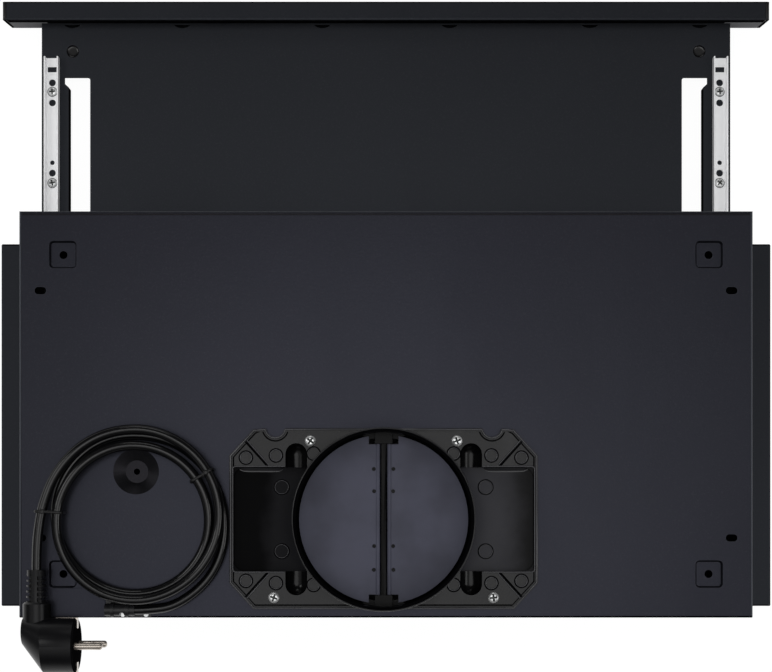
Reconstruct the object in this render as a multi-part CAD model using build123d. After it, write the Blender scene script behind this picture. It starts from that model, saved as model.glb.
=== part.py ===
from build123d import *
import math
import os

# Telescopic range hood of the 60 cm class, in millimetres.
# +Z is up, the fascia faces -Y, the wall is at +Y, and Z = 0 is the underside.
# The origin is below the middle of the hood with its visor pulled out.

# Whole hood
hood_width = 598.0
body_depth = 280.5
casing_step = 45.5
casing_width = hood_width - 2 * casing_step
wing_height = 36.0
casing_height = 140.0
visor_travel = 174.0
closed_gap = 2.0
sheet = 1.0
touch_gap = 0.3
slip = 0.1

# Fascia profile
fascia_height = 32.0
fascia_top_depth = 14.5
fascia_foot_depth = 11.1
fascia_wall = 1.2
fascia_screw_reach = 5.0
end_cap_width = 2.6
end_cap_round = 0.8
end_cap_spigot = 5.2

# Places along Y, from the wall forwards
overall_depth = body_depth + closed_gap + visor_travel + fascia_top_depth
y_wall = overall_depth / 2
y_body = y_wall - body_depth
y_fascia_back = y_body - closed_gap - visor_travel
y_fascia = y_fascia_back - fascia_top_depth

# Heights
z_deck = wing_height - sheet
z_cover = wing_height + casing_height
z_cover_under = z_cover - sheet

# Lower frame
frame_strip = 20.0
wing_strip = 7.5
hem_width = 23.5
hem_lip = 12.0
lip_height = 4.5
ledge_depth = 12.0
ledge_drop = 2.1
half_casing = casing_width / 2
half_hood = hood_width / 2
half_strip = half_casing - wing_strip

# Casing
casing_flange = 10.0
cover_lip = 13.0
half_wrapper = half_casing - sheet

# Visor tray
tray_step = 27.75
tray_width = hood_width - 2 * tray_step
tray_top = 19.5
tray_sheet = 1.2
tray_overlap = 88.8
tray_dent_x = tray_width / 2 - 24.45
tray_dent_from_fascia = 20.8
tray_dent_diameter = 9.8
tray_dent_depth = 1.6
notch_places = (-0.911, -0.592, -0.185, 0.185, 0.592, 0.911)
bend_notch_width = 13.0
bend_notch_depth = 2.6
bend_notch_height = 5.0
slot_inner = tray_width / 2 - 38.15
slot_outer = tray_width / 2 - 21.15
slot_nose_widening = 3.0
slot_nose_length = 4.8
slot_nose_slope = 2.6
slot_corner = 2.0
slot_start = 41.6
slot_end = 13.8
flange_foot = 0.5
rail_height = 8.5
rail_thickness = 2.3
y_tray_end = y_body + tray_overlap
y_slot_start = y_fascia_back + slot_start
y_slot_end = y_tray_end - slot_end
half_tray = tray_width / 2

# Ball slides
slide_width = 17.0
slide_height = 10.0
slide_length = 250.0
slide_wall = 1.0
inner_width = 11.2
inner_height = 7.0
slide_middle = tray_width / 2 - 8.55
slide_nose = 26.4
cage_length = 70.0
cage_wall = 0.7
ball_diameter = 1.7
ball_count = 5
bracket_wall = 1.0
slide_lift = 0.7
y_inner = y_fascia_back + slide_nose
y_outer = y_inner + visor_travel
z_outer_top = tray_top + slide_height
slide_hole = 5.4
slide_small_hole = 3.6
slide_hole_places = (19.4, 35.2, 90.5)
slide_small_hole_place = 82.3
slide_slot_place = 9.05
slide_slot_length = 4.0
slide_slot_width = 7.4
slide_screw_places = (26.5, 98.3)

# Screws
slide_head = 7.0
slide_head_height = 1.5
casing_head = 6.0
casing_head_height = 1.5
casing_shank = 3.4
screw_clearance = 0.2
cut_through = 1.0
head_rounding = 0.6
screw_rows = (0.15, 0.5, 0.85)
screw_columns = (-0.6, 0.0, 0.6)
front_screw_inset = 8.0

# Top cover features
slot_length = 8.0
slot_width = 5.0
slot_spacing_x = casing_width - 29.0
slot_spacing_y = 171.0
slot_row = 54.7
dimple_size = 19.0
dimple_corner = 3.0
dimple_depth = 2.5
dimple_taper = 25.0
dimple_hole = 5.6
dimple_spacing_x = casing_width - 60.0
dimple_spacing_y = 221.0
dimple_row = 29.7
cone_diameter = 31.7
cone_floor = 15.6
cone_depth = 4.0
cone_hole = 4.4
cone_x = 172.8
cone_from_wall = 100.6

# Outlet plate, measured from the outlet's middle
outlet_x = 1.6
outlet_from_wall = 67.6
plate_half_x = 106.4
plate_half_y = 62.0
plate_chamfer_x = 16.5
plate_chamfer_y = 18.0
plate_thickness = 3.0
plate_rim = 1.6
plate_rim_height = 0.8
notch_width = 12.4
notch_depth = 5.2
notch_place = 74.7
pocket_end = 103.6
pocket_half_y = 36.0
pocket_corner = 8.0
pocket_depth_outer = 6.0
pocket_depth_inner = 14.0
plate_wall = 1.5
finger_place = 60.3
finger_width = 15.0
finger_reach = 52.5
plate_screw_near = 50.5
plate_screw_far = 75.7
plate_screw_row = 54.0
plate_screw_head = 7.9
plate_screw_head_height = 2.2
plate_screw_shank = 3.8
plate_screw_length = 8.0
ejector_places = ((95.0, 42.5), (74.3, 44.0), (48.3, 45.3))
ejector_radius = 4.1
ejector_depth = 0.25
score_start = (79.5, 36.8)
score_end = (94.9, 54.0)
score_width = 0.7
socket_depth = 16.0
outlet_y = y_wall - outlet_from_wall

# Duct collar and dampers
collar_diameter = 121.0
collar_wall = 2.0
collar_height = 44.0
collar_foot = 12.0
collar_foot_step = 0.8
collar_seat_lift = 0.2
ledge_width = 3.4
ledge_height = 3.0
damper_edge_gap = 1.5
damper_diameter = collar_diameter - 2 * collar_wall - 2 * damper_edge_gap
damper_thickness = 1.6
damper_depth = 17.0
damper_axis = 3.9
damper_bead = 3.0
damper_pin = 2.4
damper_pin_length = 3.4
damper_corner = 10.0
pin_slip = 0.05
spine_width = 3.2
spine_height = 5.0
hinge_block_width = 11.8
hinge_block_depth = 7.6
hinge_block_height = 7.4

# Blower, with its axis along X
scroll_wall = 2.0
scroll_depth = 44.0
scroll_step = 7.0
scroll_radius = 52.5
scroll_tongue = 2.0
scroll_rear = 36.1
scroll_floor_gap = 5.0
tongue_round = 2.0
scroll_flange = 2.0
scroll_flange_x = 64.0
scroll_flange_front = 60.0
scroll_flange_rear = 60.0
inlet_radius = 33.0
inlet_lip = 5.0
inlet_rounding = 0.4
motor_hole = 30.0
impeller_radius = 44.0
impeller_eye = 36.0
impeller_side_gap = 3.0
impeller_plate = 1.5
blade_count = 32
blade_thickness = 0.8
blade_sweep = 9.0
blade_bulge = 1.2
hub_radius = 13.0
hub_length = 20.0
shaft_end_gap = 3.0
shaft_radius = 4.0
motor_radius = 40.0
motor_length = 40.0
motor_bell = 24.0
motor_bell_front = 6.0
motor_bell_rear = 10.0
bearing_radius = 8.0
bearing_length = 6.0
rear_bearing_inset = 2.0
bell_taper = 4.0
mount_bore_gap = 3.0
mount_plate_radius = 46.0
mount_plate = 2.0
mount_window = 9.0
mount_window_ring = 33.0

# Electrics inside the casing
capacitor_radius = 14.0
capacitor_length = 50.0
capacitor_x = -150.0
capacitor_z = 110.0
capacitor_round = 1.5
tag_length = 7.0
tag_place = 6.0
tag_width = 6.0
tag_thickness = 0.8
clip_wall = 1.5
clip_width = 12.0
clip_foot_reach = 20.0
terminal_x = 190.0
terminal_size = (54.0, 34.0, 38.0)
terminal_z = 118.0
terminal_round = 3.0
terminal_lid = 7.0
terminal_groove = 1.0

# Grease filters
filter_height = 8.0
filter_border = 12.0
filter_foot = 0.8
filter_side_gap = 0.7
filter_web = 2.4
visor_filter_column_count = 21
body_filter_column_count = 10
filter_row_count = 6
filter_field_step = 2.0
filter_pin = 3.0
filter_pin_set_in = 1.6
filter_front_gap = 2.0
body_filter_half_gap = 0.6
body_filter_front = 16.0
body_filter_rear = 17.5
body_filter_top_gap = 0.2
filter_tab_width = 30.0
filter_tab_reach = 8.0
filter_tab_height = 1.8
latch_width = 44.0
latch_depth = 9.0
latch_height = 4.4
latch_travel = 2.5
tongue_width = 16.0
tongue_height = 1.5
latch_round = 1.5
latch_hollow = 2.0
latch_ledge_overlap = 2.2
latch_riser = 1.7

# Lamps and lamp panel
panel_z = 1.4
panel_sheet = 1.0
panel_lip = 4.0
lamp_x = 150.0
lamp_length = 70.0
lamp_width = 22.0
lamp_flange = 2.5
lamp_flange_height = 0.8
lamp_box_height = 9.0
lens_height = 2.0
lamp_wall = 1.5
lamp_roof = 1.5
lens_inset = 0.2
panel_gap = 1.0

# Push buttons
button_count = 5
button_pitch = 17.0
button_width = 12.0
button_height = 8.0
button_depth = 6.9
button_travel = 2.2
button_round = 1.2
button_slip = 0.3
switch_x = hood_width / 2 - 63.0
switch_z = 16.0
switch_margin = 4.5
switch_recess = 1.2
switch_back = 1.3

# Mains cord, its coil, clamp, ties and plug
cord_diameter = 6.8
coil_x = 172.6
coil_y = 166.3
coil_rise = 7.3
coil_start = (173.0, 64.0)
coil_bottoms = (53.0, 56.8)
coil_tops = (57.2, 49.0, 60.0)
coil_side = 60.6
coil_last_radius = 60.8
coil_last_turn = 66.0
tie_thickness = 0.8
tie_width = 2.0
tie_slack = 0.35
tie_corner = 1.6
tie_angles = (-3.4, 211.4)
tail_first = 9.0
tail_route = ((237.4, 171.5), (239.0, 187.1))
boot_length = 21.9
boot_start_radius = 6.4
boot_end_radius = 7.1
boot_y = 202.6
boot_x = 239.0
boot_slots = 5
boot_slot_side = 4.2
boot_slot_width = 2.4
boot_slot_lead = 1.45
boot_spine = 1.6
boot_core = 3.7
plug_face_x = 211.4
plug_radius = 19.0
plug_head_depth = 22.0
plug_back = 36.6
plug_neck_radius = 9.3
plug_y = 254.0
plug_back_radius = 9.4
plug_back_shift = 9.5
earth_width = 5.0
earth_depth = 1.4
earth_length = 14.0
earth_reach = 6.0
earth_fold = 0.6
earth_inset = 0.1
plug_face_chamfer = 1.0
neck_chamfer = 1.2
pin_rounding = 0.4
pin_diameter = 4.8
pin_length = 19.0
pin_spacing = 19.0
clamp_end = 193.5
clamp_foot_end = 162.2
clamp_foot_front = 224.0
clamp_foot_rear = 0.1
clamp_foot = 1.0
saddle_half_width = 4.2
saddle_height = 5.2
clamp_screw_places = (181.7, 165.6)
clamp_screw_inset = 1.8
clamp_screw_head = 3.2
clamp_screw_head_height = 0.9
clamp_screw_shank = 1.6
clamp_rib = 2.0
entry_plate_x = (194.2, 231.5)
entry_plate_depth = 20.0
entry_plate_thickness = 0.7
entry_plate_corner = 1.5
tie_seat = 0.4
z_cord_low = z_cover + tie_thickness + tie_seat + cord_diameter / 2
z_cord_high = z_cord_low + coil_rise


def slab(x_span, y_span, z_span):
    """A block between two limits on each axis, given in either order."""
    spans = (x_span, y_span, z_span)
    size = [abs(high - low) for low, high in spans]
    middle = [(low + high) / 2 for low, high in spans]
    return Pos(*middle) * Box(*size)


def along_x(points, x_span):
    """A profile of (y, z) points carried from one X to another."""
    face = Plane.YZ.offset(min(x_span)) * Polygon(*points, align=None)
    return extrude(face, amount=abs(x_span[1] - x_span[0]), dir=(1, 0, 0))


def along_y(points, y_span):
    """A profile of (x, z) points carried from one Y to another."""
    face = Plane.XZ.offset(-min(y_span)) * Polygon(*points, align=None)
    return extrude(face, amount=abs(y_span[1] - y_span[0]), dir=(0, 1, 0))


def rod(start, direction, radius, length):
    """A round bar from a start point along a direction."""
    return extrude(Plane(origin=start, z_dir=direction) * Circle(radius), amount=length, dir=direction)


def ring(start, direction, outer, inner, length):
    """A round tube from a start point along a direction."""
    return rod(start, direction, outer, length) - rod(start, direction, inner, length)


def sided(side, low, high):
    """The X limits of a strip that lies low to high from the middle, on one side."""
    return (side * low, side * high)


def fascia_back(z):
    """Y of the fascia's slanted back face at a height."""
    foot = y_fascia + fascia_foot_depth
    return foot + (fascia_top_depth - fascia_foot_depth) * z / fascia_height


def save(name, shape):
    """Write one named piece, after giving its solids the piece's name."""
    shape.label = name
    export_step(shape, os.path.join("parts", name + ".step"))


# Lower frame


def casing_screw_points():
    """Where the casing is screwed down to the lower frame, with each one's side of the frame."""
    side_x = half_casing - casing_flange / 2
    rows = [y_body + body_depth * share for share in screw_rows]
    points = [(side * side_x, y) for side in (-1, 1) for y in rows]
    for share in screw_columns:
        points.append((share * half_casing, y_body + front_screw_inset))
        points.append((share * half_casing, y_wall - 1.5 * sheet - casing_flange / 2))
    return points


def cut_casing_holes(shape, z_low, z_high):
    """Clearance holes for the casing screws through one sheet."""
    radius = casing_shank / 2 + screw_clearance
    for x, y in casing_screw_points():
        shape -= rod((x, y, z_low - sheet), (0, 0, 1), radius, z_high - z_low + 2 * sheet)
    return shape


def wing(side):
    """One end of the lower frame: deck, outer skirt, hem, and front and rear plates."""
    deck = slab(sided(side, half_strip, half_hood), (y_body, y_wall), (z_deck, wing_height))
    skirt = slab(sided(side, half_hood - sheet, half_hood), (y_body, y_wall), (0, wing_height))
    hem = slab(sided(side, half_hood - hem_width, half_hood), (y_body, y_wall), (0, sheet))
    lip_x = half_hood - hem_width
    lip = slab(sided(side, lip_x, lip_x + sheet), (y_body, y_wall), (0, hem_lip))
    front = slab(sided(side, lip_x, half_hood), (y_body, y_body + sheet), (0, wing_height))
    z_brow = (wing_height - lip_height, wing_height)
    brow = slab(sided(side, half_strip, half_hood), (y_body, y_body + sheet), z_brow)
    rear = slab(sided(side, half_strip, half_hood), (y_wall - sheet, y_wall), (0, wing_height))
    return cut_casing_holes(deck + skirt + hem + lip + front + brow + rear, z_deck, wing_height)


def front_rail():
    """The folded rail across the front, over the visor, with the filters' front ledge."""
    span = (-half_strip, half_strip)
    z_ledge = z_deck - ledge_drop - sheet
    deck = slab(span, (y_body, y_body + frame_strip), (z_deck, wing_height))
    brow = slab(span, (y_body, y_body + sheet), (z_ledge, wing_height))
    ledge = slab(span, (y_body, y_body + ledge_depth), (z_ledge, z_ledge + sheet))
    rail = deck + brow + ledge
    access = casing_head / 2 + screw_clearance + touch_gap
    for x, y in casing_screw_points():
        if y < y_body + frame_strip and abs(x) < half_strip:
            rail -= rod((x, y, z_ledge - sheet), (0, 0, 1), access, 3 * sheet)
    return cut_casing_holes(rail, z_deck, wing_height)


def rear_rail():
    """The folded rail along the wall, with the filters' rear ledge."""
    span = (-half_strip, half_strip)
    z_ledge = z_deck - ledge_drop - sheet
    deck = slab(span, (y_wall - frame_strip, y_wall), (z_deck, wing_height))
    skirt = slab(span, (y_wall - sheet, y_wall), (0, wing_height))
    ledge = slab(span, (y_wall - ledge_depth, y_wall), (z_ledge, z_ledge + sheet))
    rail = deck + skirt + ledge
    access = casing_head / 2 + screw_clearance + touch_gap
    for x, y in casing_screw_points():
        if y > y_wall - frame_strip and abs(x) < half_strip:
            rail -= rod((x, y, z_ledge - sheet), (0, 0, 1), access, 3 * sheet)
    return cut_casing_holes(rail, z_deck, wing_height)


def casing_screws():
    """Screws from below through the frame's deck into the casing's flange."""
    group = []
    for x, y in casing_screw_points():
        head = rod((x, y, z_deck - casing_head_height), (0, 0, 1), casing_head / 2, casing_head_height)
        shank = rod((x, y, z_deck), (0, 0, 1), casing_shank / 2, 3 * sheet)
        group.append(head + shank)
    return Compound(children=group)


# Casing


def casing_wrapper():
    """The folded sheet round the front and both sides, with a flange along its foot."""
    y_front = y_body + sheet
    y_rear = y_wall - 2 * sheet
    outer = slab((-half_wrapper, half_wrapper), (y_front, y_rear), (wing_height, z_cover_under))
    inner = slab(
        (-half_wrapper + sheet, half_wrapper - sheet),
        (y_front + sheet, y_wall),
        (wing_height - sheet, z_cover),
    )
    z_flange = (wing_height, wing_height + sheet)
    flange_outer = slab((-half_wrapper, half_wrapper), (y_front, y_rear), z_flange)
    flange_hole = slab(
        (-half_wrapper + casing_flange, half_wrapper - casing_flange),
        (y_front + casing_flange + sheet, y_wall),
        (wing_height - sheet, wing_height + 2 * sheet),
    )
    shape = (outer - inner) + (flange_outer - flange_hole)
    return cut_casing_holes(shape, wing_height, wing_height + sheet)


def rear_panel():
    """The flat rear wall of the casing with a flange along its foot."""
    reach = half_wrapper - casing_flange - touch_gap
    y_span = (y_wall - 2 * sheet, y_wall - sheet)
    panel = slab((-half_wrapper, half_wrapper), y_span, (wing_height, z_cover_under))
    flange = slab(
        (-reach, reach),
        (y_wall - 2 * sheet - casing_flange, y_wall - sheet),
        (wing_height, wing_height + sheet),
    )
    return cut_casing_holes(panel + flange, wing_height, wing_height + sheet)


def slot_points():
    """Middles of the four slotted fixing holes."""
    y_rear = y_wall - slot_row
    rows = (y_rear - slot_spacing_y, y_rear)
    return [(side * slot_spacing_x / 2, y) for side in (-1, 1) for y in rows]


def dimple_points():
    """Middles of the four square dimples."""
    y_rear = y_wall - dimple_row
    rows = (y_rear - dimple_spacing_y, y_rear)
    return [(side * dimple_spacing_x / 2, y) for side in (-1, 1) for y in rows]


def square_dimple(grow, depth):
    """A tapered square hollow hanging below the cover's top, grown by a wall."""
    face = Plane.XY.offset(z_cover) * RectangleRounded(
        dimple_size + 2 * grow, dimple_size + 2 * grow, dimple_corner + grow
    )
    return extrude(face, amount=depth, dir=(0, 0, -1), taper=dimple_taper)


def cone_dimple(grow, depth):
    """The round funnel's hollow, grown by a wall."""
    top = cone_diameter / 2 + grow
    floor = cone_floor / 2 + grow
    profile = Polygon((0, 0), (top, 0), (floor, -depth), (0, -depth), align=None)
    return Pos(cone_x, y_wall - cone_from_wall, z_cover) * revolve(Plane.XZ * profile, axis=Axis.Z)


def outlet_cutout():
    """The opening in the cover that the outlet plate's pockets and channels hang through."""
    z_low = z_cover - 3 * sheet
    height = 6 * sheet
    clear = plate_wall + touch_gap
    face = Rectangle(2 * (pocket_end + clear), 2 * (pocket_half_y + clear))
    for side in (-1, 1):
        reach = 2 * (finger_reach + clear)
        face += Pos(side * finger_place, 0) * SlotOverall(reach, finger_width + 2 * clear, rotation=90)
    face += Circle(collar_diameter / 2 + slip + plate_wall + touch_gap)
    return extrude(Pos(outlet_x, outlet_y, z_low) * face, amount=height, dir=(0, 0, 1))


def top_cover():
    """The lid: a flat sheet with lips down, dimples, slots and the outlet's cut-out."""
    x_span = (-half_casing, half_casing)
    z_lip = z_cover - cover_lip
    shape = slab(x_span, (y_body, y_wall), (z_lip, z_cover))
    y_inside = (y_body + sheet, y_wall - sheet)
    shape -= slab((-half_wrapper, half_wrapper), y_inside, (z_lip - sheet, z_cover_under))
    for x, y in dimple_points():
        shape += Pos(x, y, -sheet) * square_dimple(0, dimple_depth)
        shape -= Pos(x, y, 0) * square_dimple(0, dimple_depth)
        shape -= rod((x, y, z_cover - 3 * dimple_depth), (0, 0, 1), dimple_hole / 2, 3 * dimple_depth)
    shape += Pos(0, 0, -sheet) * cone_dimple(0, cone_depth)
    shape -= cone_dimple(0, cone_depth)
    cone_y = y_wall - cone_from_wall
    shape -= rod((cone_x, cone_y, z_cover - 2 * cone_depth), (0, 0, 1), cone_hole / 2, 2 * cone_depth)
    for x, y in slot_points():
        face = Pos(x, y, z_cover - 2 * sheet) * SlotOverall(slot_length, slot_width)
        shape -= extrude(face, amount=3 * sheet, dir=(0, 0, 1))
    shape -= outlet_cutout()
    plate_hole = plate_screw_shank / 2 + screw_clearance
    clamp_hole = clamp_screw_shank / 2 + screw_clearance / 2
    holes = [(point, plate_hole) for point in plate_screw_points()]
    holes += [(point, clamp_hole) for point in clamp_screw_points()]
    for (x, y), radius in holes:
        shape -= rod((x, y, z_cover - 2 * sheet), (0, 0, 1), radius, 3 * sheet)
    return shape


# Outlet plate, collar and dampers


def plate_screw_points():
    """Middles of the outlet plate's four screws."""
    near = [(outlet_x + side * plate_screw_near, outlet_y - plate_screw_row) for side in (-1, 1)]
    far = [(outlet_x + side * plate_screw_far, outlet_y + plate_screw_row) for side in (-1, 1)]
    return near + far


def plate_outline(inset):
    """The eight-sided outline of the outlet plate, drawn in by an inset."""
    half_x = plate_half_x - inset
    half_y = plate_half_y - inset
    in_x = half_x - plate_chamfer_x + inset / 2
    in_y = half_y - plate_chamfer_y + inset / 2
    corners = [(half_x, in_y), (in_x, half_y), (-in_x, half_y), (-half_x, in_y)]
    corners += [(-half_x, -in_y), (-in_x, -half_y), (in_x, -half_y), (half_x, -in_y)]
    face = Polygon(*corners, align=None)
    y_notch = -plate_half_y - notch_width / 2 + notch_depth
    for side in (-1, 1):
        face -= Pos(side * notch_place, y_notch) * Circle(notch_width / 2 + inset)
    return face


def plate_marks():
    """The moulding marks on the plate: round ejector marks and a score line at each corner."""
    run = (score_end[0] - score_start[0], score_end[1] - score_start[1])
    middle = (score_start[0] + run[0] / 2, score_start[1] + run[1] / 2)
    turn = math.degrees(math.atan2(run[1], run[0]))
    quarter = Pos(*middle) * Rot(Z=turn) * Rectangle(math.hypot(*run), score_width)
    for x, y in ejector_places:
        quarter += Pos(x, y) * Circle(ejector_radius)
    half = quarter + mirror(quarter, about=Plane.YZ)
    face = half + mirror(half, about=Plane.XZ)
    z_floor = z_cover + plate_thickness - ejector_depth
    return Pos(outlet_x, outlet_y, z_floor) * extrude(face, amount=2 * ejector_depth, dir=(0, 0, 1))


def pocket(grow):
    """Both slant-floored pockets as solids, grown outwards by a wall."""
    z_top = z_cover + plate_thickness
    z_outer = z_top - pocket_depth_outer - grow
    z_inner = z_top - pocket_depth_inner - grow
    start = collar_diameter / 4
    end = pocket_end + grow
    half_y = pocket_half_y + grow
    slant = [(start, z_top), (start, z_inner), (end, z_outer), (end, z_top)]
    one = along_y(slant, (-half_y, half_y))
    upright = one.edges().filter_by(Axis.Z).sort_by(Axis.X)[-2:]
    one = fillet(upright, pocket_corner + grow)
    return Pos(outlet_x, outlet_y, 0) * (one + mirror(one, about=Plane.YZ))


def finger_channels(grow):
    """The four round-ended finger channels as solids, grown outwards by a wall."""
    radius = finger_width / 2 + grow
    reach = finger_reach - finger_width / 2
    shape = None
    for side in (-1, 1):
        middle = (outlet_x + side * finger_place, outlet_y, z_cover + plate_thickness)
        bar = rod((middle[0], middle[1] - reach, middle[2]), (0, 1, 0), radius, 2 * reach)
        for end in (-1, 1):
            bar += Pos(middle[0], middle[1] + end * reach, middle[2]) * Sphere(radius)
        shape = bar if shape is None else shape + bar
    above = slab(
        (outlet_x - plate_half_x, outlet_x + plate_half_x),
        (outlet_y - plate_half_y, outlet_y + plate_half_y),
        (z_cover + plate_thickness, z_cover + plate_thickness + finger_width),
    )
    return shape - above


def outlet_plate():
    """The moulded plate with its rim, pockets, finger channels and the collar's socket."""
    z_top = z_cover + plate_thickness
    at_outlet = Pos(outlet_x, outlet_y, 0)
    outline = Pos(0, 0, z_cover) * plate_outline(0)
    plate = at_outlet * extrude(outline, amount=plate_thickness, dir=(0, 0, 1))
    rim_face = plate_outline(0) - plate_outline(plate_rim)
    rim = at_outlet * extrude(Pos(0, 0, z_top) * rim_face, amount=plate_rim_height, dir=(0, 0, 1))
    centre = (outlet_x, outlet_y, z_top - socket_depth - plate_thickness)
    bore = collar_diameter / 2 - collar_foot_step + slip
    socket_height = socket_depth + plate_thickness
    socket = rod(centre, (0, 0, 1), bore + plate_wall, socket_height)
    shape = plate + rim + pocket(plate_wall) + finger_channels(plate_wall) + socket
    shape -= finger_channels(0) - socket
    shape -= pocket(0) - socket
    shape -= plate_marks()
    below = (centre[0], centre[1], centre[2] - cut_through)
    shape -= rod(below, (0, 0, 1), bore, socket_height + plate_rim_height + 2 * cut_through)
    hole = plate_screw_shank / 2 + screw_clearance
    for x, y in plate_screw_points():
        shape -= rod((x, y, z_cover - cut_through), (0, 0, 1), hole, plate_thickness + 2 * cut_through)
    return shape


def outlet_screws():
    """The four pan-headed screws that hold the outlet plate to the cover."""
    group = []
    for x, y in plate_screw_points():
        z_seat = z_cover + plate_thickness
        head = rod((x, y, z_seat), (0, 0, 1), plate_screw_head / 2, plate_screw_head_height)
        head = fillet(head.edges().sort_by(Axis.Z)[-1], plate_screw_head_height * head_rounding)
        shank = rod((x, y, z_seat), (0, 0, -1), plate_screw_shank / 2, plate_screw_length)
        group.append(head + shank)
    return Compound(children=group)


def collar_top():
    """Z of the collar's rim."""
    return z_cover + collar_height


def collar_seat():
    """Z of the step round the collar, just above the plate's rim, where a duct comes to rest."""
    return z_cover + plate_thickness + plate_rim_height + collar_seat_lift


def damper_z():
    """Z of the dampers' hinge axes."""
    return collar_top() - damper_depth


def duct_collar():
    """The duct tube with the dampers' ledge, spine and hinge blocks."""
    outer = collar_diameter / 2
    inner = outer - collar_wall
    z_foot = z_cover + plate_thickness - collar_foot
    z_under = damper_z() - damper_thickness / 2 - slip
    z_seat = collar_seat()
    tube = ring((outlet_x, outlet_y, z_seat), (0, 0, 1), outer, inner, collar_top() - z_seat)
    tube += ring((outlet_x, outlet_y, z_foot), (0, 0, 1), outer - collar_foot_step, inner, z_seat - z_foot)
    ledge_foot = (outlet_x, outlet_y, z_under - ledge_height)
    ledge = ring(ledge_foot, (0, 0, 1), inner + slip, inner - ledge_width, ledge_height)
    half_spine = spine_width / 2
    reach = math.sqrt(inner**2 - half_spine**2) + slip
    spine = slab(
        (outlet_x - half_spine, outlet_x + half_spine),
        (outlet_y - reach, outlet_y + reach),
        (z_under - ledge_height, z_under - ledge_height + spine_height),
    )
    shape = tube + ledge + spine
    for end in (-1, 1):
        y_out = outlet_y + end * reach
        block = slab(
            (outlet_x - hinge_block_width / 2, outlet_x + hinge_block_width / 2),
            (y_out, y_out - end * hinge_block_depth),
            (z_under - ledge_height, z_under - ledge_height + hinge_block_height),
        )
        shape += block & rod((outlet_x, outlet_y, z_foot), (0, 0, 1), inner + slip, collar_height)
    for side in (-1, 1):
        start = (outlet_x + side * damper_axis, outlet_y - damper_pin_reach() - slip, damper_z())
        length = 2 * (damper_pin_reach() + slip)
        shape -= rod(start, (0, 1, 0), damper_pin / 2 + pin_slip, length)
    return shape


def damper_half_bead():
    """Half the length of a damper's hinge bead, between the hinge blocks."""
    inner = collar_diameter / 2 - collar_wall
    reach = math.sqrt(inner**2 - (spine_width / 2) ** 2) + slip
    return reach - hinge_block_depth - touch_gap


def damper_pin_reach():
    """How far a damper's pins reach from the outlet's middle."""
    return damper_half_bead() + damper_pin_length


def damper(side):
    """One half-round damper flap with its hinge bead and two pins."""
    centre = (outlet_x, outlet_y, damper_z() - damper_thickness / 2)
    disc = rod(centre, (0, 0, 1), damper_diameter / 2, damper_thickness)
    keep_low = damper_axis - damper_bead / 4
    z_cut = (centre[2] - cut_through, centre[2] + damper_thickness + cut_through)
    keep = slab(
        (outlet_x + side * keep_low, outlet_x + side * damper_diameter),
        (outlet_y - damper_diameter, outlet_y + damper_diameter),
        z_cut,
    )
    flap = disc & keep
    half_bead = damper_half_bead()
    for end in (-1, 1):
        flap -= slab(
            (outlet_x, outlet_x + side * damper_corner),
            (outlet_y + end * half_bead, outlet_y + end * damper_diameter),
            z_cut,
        )
    axis_x = outlet_x + side * damper_axis
    bead = rod((axis_x, outlet_y - half_bead, damper_z()), (0, 1, 0), damper_bead / 2, 2 * half_bead)
    reach = damper_pin_reach()
    pins = rod((axis_x, outlet_y - reach, damper_z()), (0, 1, 0), damper_pin / 2, 2 * reach)
    return flap + bead + pins


# Blower


def blower_y():
    """Y of the blower's axis."""
    return outlet_y + scroll_rear - scroll_step / 2 - scroll_radius - 2 * scroll_step


def blower_z():
    """Z of the blower's axis."""
    return wing_height + scroll_floor_gap + scroll_wall + scroll_radius + scroll_step + scroll_step / 2


def flange_under():
    """Z of the underside of the scroll's top flange."""
    return z_cover - socket_depth - scroll_flange


def scroll_air():
    """The air space of the scroll: three quarter arcs that open step by step, and a mouth."""
    half = scroll_step / 2
    first = scroll_radius
    second = scroll_radius + scroll_step
    third = scroll_radius + 2 * scroll_step
    top = (-half, first - half)
    front = (-half - first, -half)
    bottom = (half, -half - second)
    rear = (half + third, half)
    mouth = flange_under() + scroll_flange - blower_z()
    root = math.sqrt(0.5)
    arc_front = ThreePointArc(top, (-half - first * root, -half + first * root), front)
    arc_bottom = ThreePointArc(front, (half - second * root, -half - second * root), bottom)
    arc_rear = ThreePointArc(bottom, (half + third * root, half - third * root), rear)
    rise = Line(rear, (rear[0], mouth))
    lid = Line((rear[0], mouth), (scroll_tongue, mouth))
    drop = Line((scroll_tongue, mouth), (scroll_tongue, top[1]))
    tongue = Line((scroll_tongue, top[1]), top)
    return make_face(arc_front + arc_bottom + arc_rear + rise + lid + drop + tongue)


def scroll_half(side):
    """One half of the scroll housing, open at the middle plane and at the mouth."""
    air = scroll_air()
    skin = offset(air, amount=scroll_wall, kind=Kind.ARC)
    plane = Plane.YZ
    outward = (side, 0, 0)
    shell = extrude(plane * skin, amount=scroll_depth + scroll_wall, dir=outward)
    shell -= extrude(plane * air, amount=scroll_depth, dir=outward)
    eye = inlet_radius if side > 0 else motor_hole
    shell -= rod((side * (scroll_depth - cut_through), 0, 0), outward, eye, scroll_wall + 2 * cut_through)
    if side > 0:
        shell += inlet_mouth()
    shell = Pos(outlet_x, blower_y(), blower_z()) * shell
    z_under = flange_under()
    cap = slab((-hood_width, hood_width), (-hood_width, hood_width), (z_under, z_cover))
    shell -= cap
    flange = slab(
        (outlet_x, outlet_x + side * scroll_flange_x),
        (outlet_y - scroll_flange_front, outlet_y + scroll_flange_rear),
        (z_under, z_under + scroll_flange),
    )
    mouth_front = blower_y() + scroll_tongue
    mouth_rear = outlet_y + scroll_rear
    z_mouth = (z_under - cut_through, z_under + scroll_flange + cut_through)
    flange -= slab((outlet_x, outlet_x + side * scroll_depth), (mouth_front, mouth_rear), z_mouth)
    return shell + flange


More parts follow.
